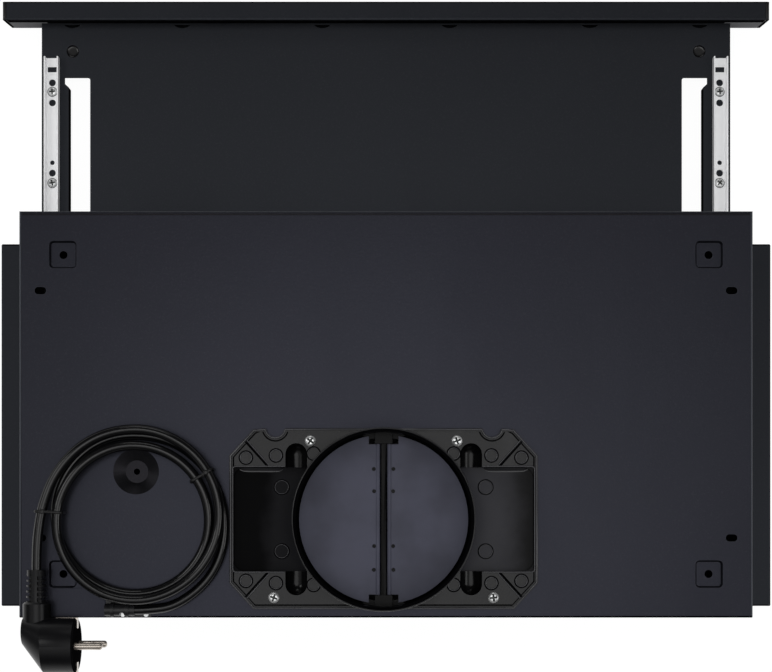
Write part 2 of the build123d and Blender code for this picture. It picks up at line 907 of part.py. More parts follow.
def inlet_mouth():
    """The rounded inlet lip on the open side of the scroll."""
    face_x = scroll_depth + scroll_wall
    outer = ring((face_x, 0, 0), (1, 0, 0), inlet_radius + inlet_lip, inlet_radius, inlet_lip)
    edge = outer.edges().filter_by(GeomType.CIRCLE).sort_by(Axis.X)[-2:]
    outer = fillet(max(edge, key=lambda item: item.radius), inlet_lip * inlet_rounding)
    edge = outer.edges().filter_by(GeomType.CIRCLE).sort_by(Axis.X)[-2:]
    return fillet(min(edge, key=lambda item: item.radius), inlet_lip * inlet_rounding)


def blade(length):
    """One forward-curved blade, a thin arc in section, standing along X."""
    lead = math.radians(blade_sweep)
    half = blade_thickness / 2
    root = (impeller_eye + slip, 0.0)
    tip = (impeller_radius * math.cos(lead) - half, impeller_radius * math.sin(lead) - half)
    run = (tip[0] - root[0], tip[1] - root[1])
    span = math.hypot(*run)
    normal = (-run[1] / span, run[0] / span)

    def shifted(point, amount):
        return (point[0] + normal[0] * amount, point[1] + normal[1] * amount)

    middle = ((root[0] + tip[0]) / 2, (root[1] + tip[1]) / 2)
    outer = ThreePointArc(shifted(root, half), shifted(middle, half - blade_bulge), shifted(tip, half))
    inner = ThreePointArc(shifted(tip, -half), shifted(middle, -half - blade_bulge), shifted(root, -half))
    close_tip = Line(shifted(tip, half), shifted(tip, -half))
    close_root = Line(shifted(root, -half), shifted(root, half))
    face = make_face(outer + close_tip + inner + close_root)
    return extrude(Plane.YZ * face, amount=length, dir=(1, 0, 0))


def impeller():
    """The squirrel-cage wheel: back plate, hub, end ring and a ring of curved blades."""
    length = 2 * (scroll_depth - impeller_side_gap)
    start = -length / 2
    plate = rod((start, 0, 0), (1, 0, 0), impeller_radius, impeller_plate)
    hub = rod((start, 0, 0), (1, 0, 0), hub_radius, hub_length)
    hoop = ring((-start - impeller_plate, 0, 0), (1, 0, 0), impeller_radius, impeller_eye, impeller_plate)
    one = Pos(start + impeller_plate / 2, 0, 0) * blade(length - impeller_plate)
    blades = [Rot(X=turn * 360 / blade_count) * one for turn in range(blade_count)]
    wheel = plate + hub + hoop + blades
    bore = shaft_radius + slip / 4
    wheel -= rod((start - cut_through, 0, 0), (1, 0, 0), bore, hub_length + 2 * cut_through)
    return Pos(outlet_x, blower_y(), blower_z()) * wheel


def motor_face():
    """X of the motor's front face, against its mounting plate."""
    return outlet_x - scroll_depth - scroll_wall - mount_plate


def motor_shaft():
    """The steel shaft from the motor's rear bearing into the wheel's hub."""
    start = motor_face() - motor_bell_front - motor_length - motor_bell_rear + shaft_end_gap
    end = outlet_x - scroll_depth + impeller_side_gap + hub_length - shaft_end_gap
    return rod((start, blower_y(), blower_z()), (1, 0, 0), shaft_radius, end - start)


def motor_mount():
    """The round plate that carries the motor on the scroll's side, with four windows."""
    start = (motor_face(), blower_y(), blower_z())
    plate = rod(start, (1, 0, 0), mount_plate_radius, mount_plate)
    x_cut = start[0] - cut_through
    depth = mount_plate + 2 * cut_through
    plate -= rod((x_cut, start[1], start[2]), (1, 0, 0), bearing_radius + mount_bore_gap, depth)
    for turn in range(4):
        angle = math.radians(45 + 90 * turn)
        y = start[1] + mount_window_ring * math.cos(angle)
        z = start[2] + mount_window_ring * math.sin(angle)
        plate -= rod((x_cut, y, z), (1, 0, 0), mount_window, depth)
    return plate


def motor_housing():
    """The motor's can with its two end bells, bored for the shaft and its bearings."""
    bell_end = motor_bell_front + motor_length + motor_bell_rear
    profile = [
        (0, 0),
        (0, motor_bell),
        (-motor_bell_front, motor_bell),
        (-motor_bell_front, motor_radius),
        (-motor_bell_front - motor_length, motor_radius),
        (-motor_bell_front - motor_length, motor_bell),
        (-bell_end, motor_bell - bell_taper),
        (-bell_end, 0),
    ]
    can = revolve(Plane.XY * Polygon(*profile, align=None), axis=Axis.X)
    front = (cut_through, 0, 0)
    can -= rod(front, (-1, 0, 0), shaft_radius + touch_gap, bell_end)
    pocket_radius = bearing_radius + slip / 2
    can -= rod(front, (-1, 0, 0), pocket_radius, bearing_length + cut_through)
    can -= rod((rear_bearing_inset - bell_end, 0, 0), (1, 0, 0), pocket_radius, bearing_length)
    return Pos(motor_face(), blower_y(), blower_z()) * can


def motor_bearings():
    """The two plain bearings that the shaft turns in."""
    bell_end = motor_bell_front + motor_length + motor_bell_rear
    group = []
    for start in (-bearing_length, rear_bearing_inset - bell_end):
        bush = ring((start, 0, 0), (1, 0, 0), bearing_radius, shaft_radius + pin_slip, bearing_length)
        group.append(Pos(motor_face(), blower_y(), blower_z()) * bush)
    return Compound(children=group)


def capacitor():
    """The motor's run capacitor, a round can with two tags."""
    y = y_wall - 2 * sheet - clip_wall - capacitor_radius - slip
    can = rod((capacitor_x, y, capacitor_z), (1, 0, 0), capacitor_radius, capacitor_length)
    can = fillet(can.edges().filter_by(GeomType.CIRCLE), capacitor_round)
    x_span = (capacitor_x - tag_length, capacitor_x + cut_through)
    z_span = (capacitor_z - tag_width / 2, capacitor_z + tag_width / 2)
    for side in (-1, 1):
        y_tag = y + side * tag_place
        can += slab(x_span, (y_tag - tag_thickness / 2, y_tag + tag_thickness / 2), z_span)
    return can


def capacitor_clip():
    """The sprung band that holds the capacitor to the rear panel."""
    y = y_wall - 2 * sheet - clip_wall - capacitor_radius - slip
    start = capacitor_x + (capacitor_length - clip_width) / 2
    band = rod((start, y, capacitor_z), (1, 0, 0), capacitor_radius + slip + clip_wall, clip_width)
    y_back = y_wall - 2 * sheet
    z_span = (capacitor_z - clip_foot_reach, capacitor_z + clip_foot_reach)
    clip = band + slab((start, start + clip_width), (y_back - clip_wall, y_back), z_span)
    bore = capacitor_radius + slip
    return clip - rod((start - cut_through, y, capacitor_z), (1, 0, 0), bore, clip_width + 2 * cut_through)


def terminal_box():
    """The moulded box on the rear panel where the mains cord is joined."""
    length, depth, height = terminal_size
    y_back = y_wall - 2 * sheet
    x_span = (terminal_x - length / 2, terminal_x + length / 2)
    box = slab(x_span, (y_back - depth, y_back), (terminal_z, terminal_z + height))
    box = fillet(box.edges().filter_by(Axis.Z), terminal_round)
    z_lid = terminal_z + height - terminal_lid
    groove = slab(
        (terminal_x - length, terminal_x + length),
        (y_back - depth - terminal_groove, y_back - depth + terminal_groove),
        (z_lid - terminal_groove, z_lid),
    )
    return box - groove


# Visor tray and fascia


def tray_slot(side, low, high):
    """The long see-through slot on one side, from low to high in height."""
    x_in = side * slot_inner
    x_out = side * slot_outer
    nose = side * (slot_outer + slot_nose_widening)
    y_step = y_slot_start + slot_nose_length
    points = [
        (x_in, y_slot_start),
        (nose, y_slot_start),
        (nose, y_step),
        (x_out, y_step + slot_nose_slope),
        (x_out, y_slot_end),
        (x_in, y_slot_end),
    ]
    shape = extrude(Pos(0, 0, low) * Polygon(*points, align=None), amount=high - low, dir=(0, 0, 1))
    front = shape.edges().filter_by(Axis.Z).group_by(Axis.Y)[0]
    inner_corner = min(front, key=lambda item: abs(item.center().X))
    return fillet(inner_corner, slot_corner)


def tray_dent(side, grow):
    """The round dent in the tray beside one slot's front end, grown by a wall."""
    x = side * tray_dent_x
    y = y_fascia_back + tray_dent_from_fascia
    depth = tray_dent_depth + grow
    z_low = tray_top - depth
    return rod((x, y, z_low), (0, 0, 1), tray_dent_diameter / 2 + grow, depth)


def bend_notches():
    """The shallow round bites in the tray's front bend, which clear the screws' heads."""
    radius = (bend_notch_width**2 / 4 + bend_notch_depth**2) / (2 * bend_notch_depth)
    y = y_fascia_back + bend_notch_depth - radius
    z_low = tray_top - bend_notch_height
    height = bend_notch_height + cut_through
    cut = None
    for share in notch_places:
        one = rod((share * half_tray, y, z_low), (0, 0, 1), radius, height)
        cut = one if cut is None else cut + one
    return cut & slab((-half_tray, half_tray), (y_fascia_back, y_slot_start), (z_low, z_low + height))


def tray_front_flange():
    """The tray's slanted front flange, which lies flat on the fascia's back."""
    low = fascia_back(flange_foot)
    high = fascia_back(tray_top)
    front = [(low, flange_foot), (high, tray_top)]
    back = [(high + tray_sheet, tray_top), (low + tray_sheet, flange_foot)]
    return along_x(front + back, (-half_tray, half_tray))


def visor_tray():
    """The sliding tray: top plate, skirts, filter guides, rear rail and front flange."""
    z_under = tray_top - tray_sheet
    y_front = fascia_back(tray_top) + tray_sheet / 2
    shape = slab((-half_tray, half_tray), (y_front, y_tray_end), (z_under, tray_top))
    for side in (-1, 1):
        shape += slab(sided(side, half_tray - tray_sheet, half_tray), (y_front, y_tray_end), (0, tray_top))
        guide = sided(side, slot_inner - tray_sheet, slot_inner)
        shape += slab(guide, (y_front, y_tray_end), (flange_foot, tray_top))
        keel = sided(side, slot_outer, slot_outer + tray_sheet)
        y_keel = y_slot_start + slot_nose_length + slot_nose_slope
        shape += slab(keel, (y_keel, y_tray_end), (tray_top / 2, tray_top))
        shape += tray_dent(side, tray_sheet)
    half_guide = slot_inner - tray_sheet
    y_rail = y_tray_end - rail_thickness
    shape += slab((-half_guide, half_guide), (y_rail, y_tray_end), (flange_foot, flange_foot + rail_height))
    shape += tray_front_flange()
    shape -= bend_notches()
    for side in (-1, 1):
        shape -= tray_dent(side, 0)
        shape -= tray_slot(side, tray_top / 2 - cut_through, tray_top + cut_through)
        for y in slide_screw_lines():
            start = (side * slide_middle, y, 0)
            shape -= rod(start, (0, 0, 1), casing_shank / 2 + screw_clearance, tray_top + cut_through)
        y_pin, z_pin = filter_axis()
        start = (side * (slot_inner - 2 * tray_sheet), y_pin, z_pin)
        shape -= rod(start, (side, 0, 0), filter_pin / 2 + slip, 3 * tray_sheet)
    for place in fascia_screw_places():
        shape -= fascia_screw_hole(place)
    return shape


def fascia_screw_places():
    """X of the screws that hold the tray to the fascia."""
    return [share * half_tray for share in notch_places[1:-1]]


def fascia_screw_plane(x):
    """A plane on the inner face of the tray's front flange, looking back into the tray."""
    z = tray_top / 2
    slope = (fascia_top_depth - fascia_foot_depth) / fascia_height
    inward = Vector(0, 1, -slope).normalized()
    origin = Vector(x, fascia_back(z), z) + inward * (tray_sheet / math.hypot(1, slope))
    return Plane(origin=origin, x_dir=(1, 0, 0), z_dir=inward)


def fascia_screw_hole(x):
    """A clearance hole along one fascia screw."""
    face = fascia_screw_plane(x).offset(-fascia_screw_reach) * Circle(casing_shank / 2 + screw_clearance)
    return extrude(face, amount=fascia_screw_reach + 2 * cut_through)


def fascia_screws():
    """Screws through the tray's front flange into the fascia's back."""
    group = []
    for x in fascia_screw_places():
        plane = fascia_screw_plane(x)
        head = extrude(plane * Circle(casing_head / 2), amount=casing_head_height)
        tip = plane.offset(-fascia_screw_reach) * Circle(casing_shank / 2)
        shank = extrude(tip, amount=fascia_screw_reach)
        group.append(head + shank)
    return Compound(children=group)


def fascia():
    """The closed front profile, open at its ends, with the push buttons' window."""
    half = half_hood - end_cap_width
    wall = fascia_wall
    outer = [(y_fascia, 0), (y_fascia, fascia_height), (y_fascia_back, fascia_height), (fascia_back(0), 0)]
    inner = [
        (y_fascia + wall, wall),
        (y_fascia + wall, fascia_height - wall),
        (fascia_back(fascia_height - wall) - wall, fascia_height - wall),
        (fascia_back(wall) - wall, wall),
    ]
    shape = along_x(outer, (-half, half)) - along_x(inner, (-half - cut_through, half + cut_through))
    y_window = (y_fascia - cut_through, y_fascia + wall + cut_through)
    shape -= slab(switch_span(slip), y_window, switch_rise(slip))
    for x in fascia_screw_places():
        shape -= fascia_screw_hole(x)
    return shape


def fascia_end_caps():
    """The two moulded caps that close the fascia's ends."""
    outer = [(y_fascia, 0), (y_fascia, fascia_height), (y_fascia_back, fascia_height), (fascia_back(0), 0)]
    inset = fascia_wall + slip
    plug_outline = [
        (y_fascia + inset, inset),
        (y_fascia + inset, fascia_height - inset),
        (fascia_back(fascia_height - inset) - inset, fascia_height - inset),
        (fascia_back(inset) - inset, inset),
    ]
    group = []
    for side in (-1, 1):
        cap = along_x(outer, sided(side, half_hood - end_cap_width, half_hood))
        cap = fillet(cap.edges().filter_by(Axis.X), end_cap_round)
        x_spigot = half_hood - end_cap_width
        group.append(cap + along_x(plug_outline, sided(side, x_spigot - end_cap_spigot, x_spigot)))
    return Compound(children=group)


def switch_span(grow):
    """X limits of the push buttons' bezel."""
    half = button_pitch * (button_count - 1) / 2 + button_width / 2 + switch_margin + grow
    return (switch_x - half, switch_x + half)


def switch_rise(grow):
    """Z limits of the push buttons' bezel."""
    half = button_height / 2 + switch_margin + grow
    return (switch_z - half, switch_z + half)


def button_places():
    """X of each push button."""
    first = switch_x - button_pitch * (button_count - 1) / 2
    return [first + button_pitch * index for index in range(button_count)]


def switch_housing():
    """The recessed bezel and switch block behind the push buttons."""
    y_front = y_fascia + switch_recess
    y_back = fascia_back(switch_rise(0)[0]) - fascia_wall - slip
    block = slab(switch_span(0), (y_front, y_back), switch_rise(0))
    for x in button_places():
        half_x = button_width / 2 + button_slip
        half_z = button_height / 2 + button_slip
        z_span = (switch_z - half_z, switch_z + half_z)
        block -= slab((x - half_x, x + half_x), (y_front - cut_through, y_back - switch_back), z_span)
    return block


def button(x):
    """One push button with a rounded front."""
    y_back = y_fascia + button_depth
    shape = slab(
        (x - button_width / 2, x + button_width / 2),
        (y_fascia, y_back),
        (switch_z - button_height / 2, switch_z + button_height / 2),
    )
    shape = fillet(shape.edges().filter_by(Axis.Y), button_round)
    return chamfer(shape.faces().sort_by(Axis.Y)[0].edges(), button_round / 3)


# Ball slides


def slide_screw_lines():
    """Y of the screws in each moving rail."""
    return [y_inner + place for place in slide_screw_places]


def slide_inner(side):
    """The moving rail: a channel open upwards, lying on the tray, with its holes."""
    half = inner_width / 2
    middle = side * slide_middle
    y_span = (y_inner, y_inner + slide_length)
    rail = slab((middle - half, middle + half), y_span, (tray_top, tray_top + inner_height))
    hollow = slab(
        (middle - half + slide_wall, middle + half - slide_wall),
        (y_inner - cut_through, y_inner + slide_length + cut_through),
        (tray_top + slide_wall, tray_top + inner_height + cut_through),
    )
    rail -= hollow
    holes = [(y_inner + place, slide_hole / 2) for place in slide_hole_places]
    holes.append((y_inner + slide_small_hole_place, slide_small_hole / 2))
    holes += [(y, casing_shank / 2 + screw_clearance) for y in slide_screw_lines()]
    z_cut = tray_top - cut_through
    for y, radius in holes:
        rail -= rod((middle, y, z_cut), (0, 0, 1), radius, slide_wall + 2 * cut_through)
    y_slot = y_inner + slide_slot_place
    rail -= slab(
        (middle - slide_slot_width / 2, middle + slide_slot_width / 2),
        (y_slot - slide_slot_length / 2, y_slot + slide_slot_length / 2),
        (z_cut, tray_top + slide_wall + cut_through),
    )
    return rail


def slide_screws():
    """The pan-headed screws that hold the moving rails to the tray."""
    group = []
    for side in (-1, 1):
        for y in slide_screw_lines():
            z_seat = tray_top + slide_wall
            head = rod((side * slide_middle, y, z_seat), (0, 0, 1), slide_head / 2, slide_head_height)
            head = fillet(head.edges().sort_by(Axis.Z)[-1], slide_head_height * head_rounding)
            reach = slide_wall + 3 * tray_sheet
            shank = rod((side * slide_middle, y, z_seat), (0, 0, -1), casing_shank / 2, reach)
            group.append(head + shank)
    return Compound(children=group)


def slide_outer(side):
    """The fixed rail: a channel open downwards over the moving rail, with curled lips."""
    half = slide_width / 2
    middle = side * slide_middle
    y_span = (y_outer, y_outer + slide_length)
    z_low = tray_top + slide_lift
    rail = slab((middle - half, middle + half), y_span, (z_low, z_outer_top))
    hollow = slab(
        (middle - half + slide_wall, middle + half - slide_wall),
        (y_outer - cut_through, y_outer + slide_length + cut_through),
        (z_low - cut_through, z_outer_top - slide_wall),
    )
    return rail - hollow


def cage_rest_y():
    """Y of the front of each ball cage with the visor pulled out."""
    overlap_middle = (y_outer + y_inner + slide_length) / 2
    return overlap_middle - cage_length / 2


def ball_cage(side):
    """The retainer that bridges the moving rail, with a row of balls loose in its windows."""
    middle = side * slide_middle
    race = (slide_width / 2 - slide_wall + inner_width / 2) / 2
    half = race + cage_wall / 2
    y_start = cage_rest_y()
    y_span = (y_start, y_start + cage_length)
    z_bridge = tray_top + inner_height + touch_gap
    z_foot = tray_top + 2 * slide_wall
    z_ball = tray_top + inner_height / 2
    shape = slab((middle - half, middle + half), y_span, (z_foot, z_bridge + cage_wall))
    shape -= slab(
        (middle - half + cage_wall, middle + half - cage_wall),
        (y_start - cut_through, y_start + cage_length + cut_through),
        (z_foot - cut_through, z_bridge),
    )
    balls = []
    for index in range(ball_count):
        y = y_start + cage_length * (index + 0.5) / ball_count
        window = ball_diameter / 2 + slip / 2
        shape -= rod((middle - slide_width, y, z_ball), (1, 0, 0), window, 2 * slide_width)
        balls += [Pos(middle + end * race, y, z_ball) * Sphere(ball_diameter / 2) for end in (-1, 1)]
    return Compound(children=[shape] + balls)


def slide_brackets():
    """The hat-shaped hangers that hold the fixed rails below the wings' decks."""
    group = []
    half = slide_width / 2
    for side in (-1, 1):
        middle = side * slide_middle
        y_span = (y_outer, y_outer + slide_length)
        hat = slab((middle - half, middle + half), y_span, (z_outer_top, z_deck))
        hat -= slab(
            (middle - half + bracket_wall, middle + half - bracket_wall),
            (y_outer - cut_through, y_outer + slide_length + cut_through),
            (z_outer_top + bracket_wall, z_deck + cut_through),
        )
        group.append(hat)
    return Compound(children=group)


# Grease filters


def diamond_cells(x_span, y_span, columns, z_span):
    """A staggered field of diamond openings as one group of prisms."""
    rows = filter_row_count
    pitch_x = (x_span[1] - x_span[0]) / columns
    pitch_y = (y_span[1] - y_span[0]) / rows
    half_x = pitch_x / 2 - filter_web / 2
    half_y = pitch_y - filter_web
    prisms = []
    for column in range(columns):
        x = x_span[0] + pitch_x * (column + 0.5)
        for row in range(rows - column % 2):
            y = y_span[0] + pitch_y * (row + 0.5 + 0.5 * (column % 2))
            points = [(x - half_x, y), (x, y - half_y / 2), (x + half_x, y), (x, y + half_y / 2)]
            face = Pos(0, 0, z_span[0] - cut_through) * Polygon(*points, align=None)
            prisms.append(extrude(face, amount=z_span[1] - z_span[0] + 2 * cut_through, dir=(0, 0, 1)))
    return prisms


def filter_cassette(x_span, y_span, z_low, columns):
    """A filter frame with a thinner holed field in its middle."""
    shape = slab(x_span, y_span, (z_low, z_low + filter_height))
    inner_x = (x_span[0] + filter_border, x_span[1] - filter_border)
    inner_y = (y_span[0] + filter_border, y_span[1] - filter_border)
    z_top = z_low + filter_height
    shape -= slab(inner_x, inner_y, (z_low - cut_through, z_low + filter_field_step))
    shape -= slab(inner_x, inner_y, (z_top - filter_field_step, z_top + cut_through))
    field_x = (inner_x[0] + filter_web, inner_x[1] - filter_web)
    field_y = (inner_y[0] + filter_web, inner_y[1] - filter_web)
    return shape - diamond_cells(field_x, field_y, columns, (z_low, z_top))


def filter_axis():
    """Y and Z of the visor filter's hinge pins."""
    y_end = y_tray_end - rail_thickness - body_filter_half_gap * 2
    return y_end - filter_pin_set_in, filter_foot + filter_pin_set_in


def panel_end():
    """Y of the lamp panel's rear edge, in front of the visor filter."""
    return y_slot_start - panel_gap


def visor_filter():
    """The visor's grease filter with its hinge pins and its latch's pocket."""
    half = slot_inner - tray_sheet - filter_side_gap
    y_front = panel_end() + filter_front_gap
    y_pin, z_pin = filter_axis()
    y_end = y_pin + filter_pin_set_in
    shape = filter_cassette((-half, half), (y_front, y_end), filter_foot, visor_filter_column_count)
    foot_edge = shape.edges().filter_by(Axis.X).sort_by(Axis.Y)[-2:].sort_by(Axis.Z)[0]
    shape = fillet(foot_edge, filter_pin_set_in - slip)
    reach = slot_inner - slip
    shape += rod((-reach, y_pin, z_pin), (1, 0, 0), filter_pin / 2, filter_border - filter_side_gap)
    shape += rod((reach, y_pin, z_pin), (-1, 0, 0), filter_pin / 2, filter_border - filter_side_gap)
    return shape - latch_pocket(0, y_front, filter_foot)


def latch_pocket(x, y_front, z_low):
    """The recess that a filter latch slides in."""
    half = latch_width / 2 + touch_gap
    depth = latch_depth + latch_travel + touch_gap
    y_span = (y_front - cut_through, y_front + depth)
    return slab((x - half, x + half), y_span, (z_low - cut_through, z_low + latch_height + touch_gap))


def latch(x, y_front, z_low, z_tongue, reach):
    """A sliding filter latch with a finger hollow and a tongue towards the front."""
    half = latch_width / 2
    y_body_span = (y_front + touch_gap, y_front + latch_depth)
    body = slab((x - half, x + half), y_body_span, (z_low, z_low + latch_height))
    body = fillet(body.edges().filter_by(Axis.Z), latch_round)
    middle = (x, y_front + latch_depth / 2 + touch_gap / 2, z_low - cut_through)
    hollow = Pos(*middle) * SlotOverall(latch_width * 0.6, latch_depth / 2)
    body -= extrude(hollow, amount=latch_hollow + cut_through, dir=(0, 0, 1))
    tongue_half = tongue_width / 2
    tongue = slab(
        (x - tongue_half, x + tongue_half),
        (y_front - reach, y_front + 2 * touch_gap + cut_through),
        (z_tongue, z_tongue + tongue_height),
    )
    return body + tongue


def visor_filter_latch():
    """The visor filter's latch, its tongue just short of the lamp panel's edge."""
    y_front = panel_end() + filter_front_gap
    z_tongue = panel_z + panel_sheet + touch_gap
    return latch(0, y_front, filter_foot, z_tongue, filter_front_gap - touch_gap)


def body_filter_span(side):
    """X limits of one body filter."""
    return sided(side, body_filter_half_gap, half_strip - body_filter_half_gap)


def body_filter(side):
    """One body filter, held up between the frame's ledges by two rear tabs and a latch."""
    x_span = tuple(sorted(body_filter_span(side)))
    y_span = (y_body + body_filter_front, y_wall - body_filter_rear)
    z_low = z_deck - body_filter_top_gap - filter_height
    shape = filter_cassette(x_span, y_span, z_low, body_filter_column_count)
    for share in (0.2, 0.8):
        x = x_span[0] + (x_span[1] - x_span[0]) * share
        z_tab = z_deck - ledge_drop + touch_gap / 2
        shape += slab(
            (x - filter_tab_width / 2, x + filter_tab_width / 2),
            (y_span[1] - cut_through, y_span[1] + filter_tab_reach),
            (z_tab, z_tab + filter_tab_height - touch_gap),
        )
    middle = (x_span[0] + x_span[1]) / 2
    half = tongue_width / 2 + touch_gap
    y_bite = (y_span[0] - cut_through, y_span[0] + latch_travel + touch_gap)
    shape -= slab((middle - half, middle + half), y_bite, (z_low, z_low + filter_height + cut_through))
    return shape - latch_pocket(middle, y_span[0], z_low)


def body_filter_latch(side):
    """A body filter's latch, its tongue over the front ledge."""
    x_span = body_filter_span(side)
    middle = (x_span[0] + x_span[1]) / 2
    y_front = y_body + body_filter_front
    z_low = z_deck - body_filter_top_gap - filter_height
    z_ledge = z_deck - ledge_drop
    body = latch(middle, y_front, z_low, z_low + latch_height - tongue_height, touch_gap)
    riser = slab(
        (middle - tongue_width / 2, middle + tongue_width / 2),
        (y_front - touch_gap - latch_riser, y_front - touch_gap),
        (z_low + latch_height - tongue_height, z_ledge + touch_gap + tongue_height),
    )
    reach = slab(
        (middle - tongue_width / 2, middle + tongue_width / 2),
        (y_body + ledge_depth - latch_ledge_overlap, y_front - touch_gap),
        (z_ledge + touch_gap, z_ledge + touch_gap + tongue_height),
    )
    return body + riser + reach


# Lamps


def lamp_face(grow):
    """The round-ended outline of a lamp, grown by a margin."""
    return SlotOverall(lamp_length + 2 * grow, lamp_width + 2 * grow)


def lamp_places():
    """Middles of the lamps."""
    y = (fascia_back(0) + tray_sheet + panel_end()) / 2
    return [(side * lamp_x, y) for side in (-1, 1)]


def lamp_panel():
    """The sheet under the front of the tray that carries the lamps."""
    half = slot_inner - tray_sheet
    y_front = fascia_back(panel_z + panel_sheet) + tray_sheet + slip
    panel = slab((-half, half), (y_front, panel_end()), (panel_z, panel_z + panel_sheet))
    for x, y in lamp_places():
        window = Pos(x, y, panel_z - cut_through) * lamp_face(slip)
        panel -= extrude(window, amount=panel_sheet + 2 * cut_through, dir=(0, 0, 1))
    return panel


def lamp_bezels():
    """The two lamp bodies: a thin flange below the panel and a hollow box above it."""
    group = []
    for x, y in lamp_places():
        z_low = panel_z - lamp_flange_height
        shape = extrude(Pos(x, y, z_low) * lamp_face(lamp_flange), amount=lamp_flange_height, dir=(0, 0, 1))
        box_height = lamp_flange_height + lamp_box_height
        shape += extrude(Pos(x, y, z_low) * lamp_face(0), amount=box_height, dir=(0, 0, 1))
        mouth = Pos(x, y, z_low - cut_through) * lamp_face(-lamp_wall)
        group.append(shape - extrude(mouth, amount=box_height + cut_through - lamp_roof, dir=(0, 0, 1)))
    return Compound(children=group)


def lamp_lenses():
    """The two frosted lenses set into the lamp bezels."""
    group = []
    for x, y in lamp_places():
        z_low = panel_z - lamp_flange_height + lens_inset
        lens = extrude(Pos(x, y, z_low) * lamp_face(-lamp_wall - slip), amount=lens_height, dir=(0, 0, 1))
        group.append(lens)
    return Compound(children=group)


# Mains cord


def coil_path():
    """The coil's centre line: a lead-in, five half turns and a part turn, as lines and arcs."""
    radius = cord_diameter
    x_start, start_out = coil_start
    y_start = coil_y + start_out
    x_turn = x_start - radius
    x_left = coil_x - coil_side
    first = x_turn - x_left
    root = math.sqrt(0.5)
    low = z_cord_low
    high = z_cord_high
    bottom_1, bottom_2 = coil_bottoms
    top_0, top_1, top_2 = coil_tops
    y_first = y_start - first
    y_join = coil_y - top_0 + coil_side
    edges = [Line((x_start, y_start, low), (x_turn, y_start, low))]
    edges.append(
        ThreePointArc(
            (x_turn, y_start, low),
            (x_turn - first * root, y_first + first * root, low),
            (x_left, y_first, low),
        )
    )
    edges.append(Line((x_left, y_first, low), (x_left, y_join, low)))
    edges.append(
        ThreePointArc(
            (x_left, y_join, low),
            (coil_x - coil_side * root, y_join - coil_side * root, low),
            (coil_x, y_join - coil_side, low),
        )
    )
    stations = [
        (-top_0, low),
        (bottom_1, low),
        (-top_1, high),
        (bottom_2, high),
        (-top_2, high),
    ]
    side = 1
    for (y_from, z_from), (y_to, z_to) in zip(stations, stations[1:]):
        reach = math.hypot(y_to - y_from, z_to - z_from) / 2
        middle = (coil_x + side * reach, coil_y + (y_from + y_to) / 2, (z_from + z_to) / 2)
        start = (coil_x, coil_y + y_from, z_from)
        edges.append(ThreePointArc(start, middle, (coil_x, coil_y + y_to, z_to)))
        side = -side
    centre_y = coil_y - top_2 + coil_last_radius
    points = []
    for share in (0.0, 0.5, 1.0):
        angle = math.radians(coil_last_turn * share)
        x = coil_x + coil_last_radius * math.sin(angle)
        points.append((x, centre_y - coil_last_radius * math.cos(angle), high))
    edges.append(ThreePointArc(*points))
    out = coil_exit_direction()
    end = points[-1]
    edges.append(Line(end, (end[0] + out[0] * radius, end[1] + out[1] * radius, high)))
    return edges


def coil_exit_direction():
    """The way the cord leaves the coil."""
    angle = math.radians(coil_last_turn)
    return (math.cos(angle), math.sin(angle))


def tube(edges, radius):
    """A round tube along joined edges."""
    path = Wire(edges)
    start = edges[0] @ 0
    section = Plane(origin=start, z_dir=edges[0] % 0) * Circle(radius)
    return sweep(section, path=path), path.length


def report_tube(name, solid, length, radius):
    """Print a tube's volume beside its section times its length."""
    expected = math.pi * radius**2 * length
    print(f"{name}: volume {solid.volume:.0f}, section x length {expected:.0f}, length {length:.0f} mm")


def least_gap(edges, diameter):
    """The least gap of a tube to itself, on points along its centre line."""
    points = []
    run = 0.0
    for edge in edges:
        count = max(2, int(edge.length / 2))
        for step in range(count):
            points.append((run + edge.length * step / count, edge @ (step / count)))
        run += edge.length
    least = 1e9
    for index, (place, point) in enumerate(points):
        for other_place, other in points[index + 1 :]:
            if other_place - place > 4 * diameter:
                least = min(least, (point - other).length)
    return least - diameter


def cord_coil():
    """The tied coil as one unbroken tube."""
    edges = coil_path()
    solid, length = tube(edges, cord_diameter / 2)
    report_tube("cord_coil", solid, length, cord_diameter / 2)
    print(f"cord_coil: least gap to itself {least_gap(edges, cord_diameter):.2f} mm")
    return solid


def fillet_radii(points):
    """The bend radius at each inner point of a route, from its runs and its turn."""
    radii = []
    for before, here, after in zip(points, points[1:], points[2:]):
        first = Vector(*here) - Vector(*before)
        second = Vector(*after) - Vector(*here)
        turn = math.radians(first.get_angle(second))
        radii.append(0.45 * min(first.length, second.length) / math.tan(turn / 2))
    return radii


def tail_points():
    """The route from the coil to the plug's strain relief."""
    out = coil_exit_direction()
    start = coil_path()[-1] @ 1
    points = [(start.X, start.Y, start.Z)]
    points.append((start.X + out[0] * tail_first, start.Y + out[1] * tail_first, start.Z))
    points += [(x, y, z_cord_high) for x, y in tail_route]
    points.append((boot_x, boot_y, z_cord_high))
    return points


def cord_tail():
    """The free stretch of cord between the coil and the plug."""
    points = tail_points()
    radii = fillet_radii(points)
    print("cord_tail: bend radii " + ", ".join(f"{radius:.0f}" for radius in radii) + " mm")
    path = FilletPolyline(*points, radius=radii)
    section = Plane(origin=points[0], z_dir=path % 0) * Circle(cord_diameter / 2)
    solid = sweep(section, path=path)
    report_tube("cord_tail", solid, path.length, cord_diameter / 2)
    return solid


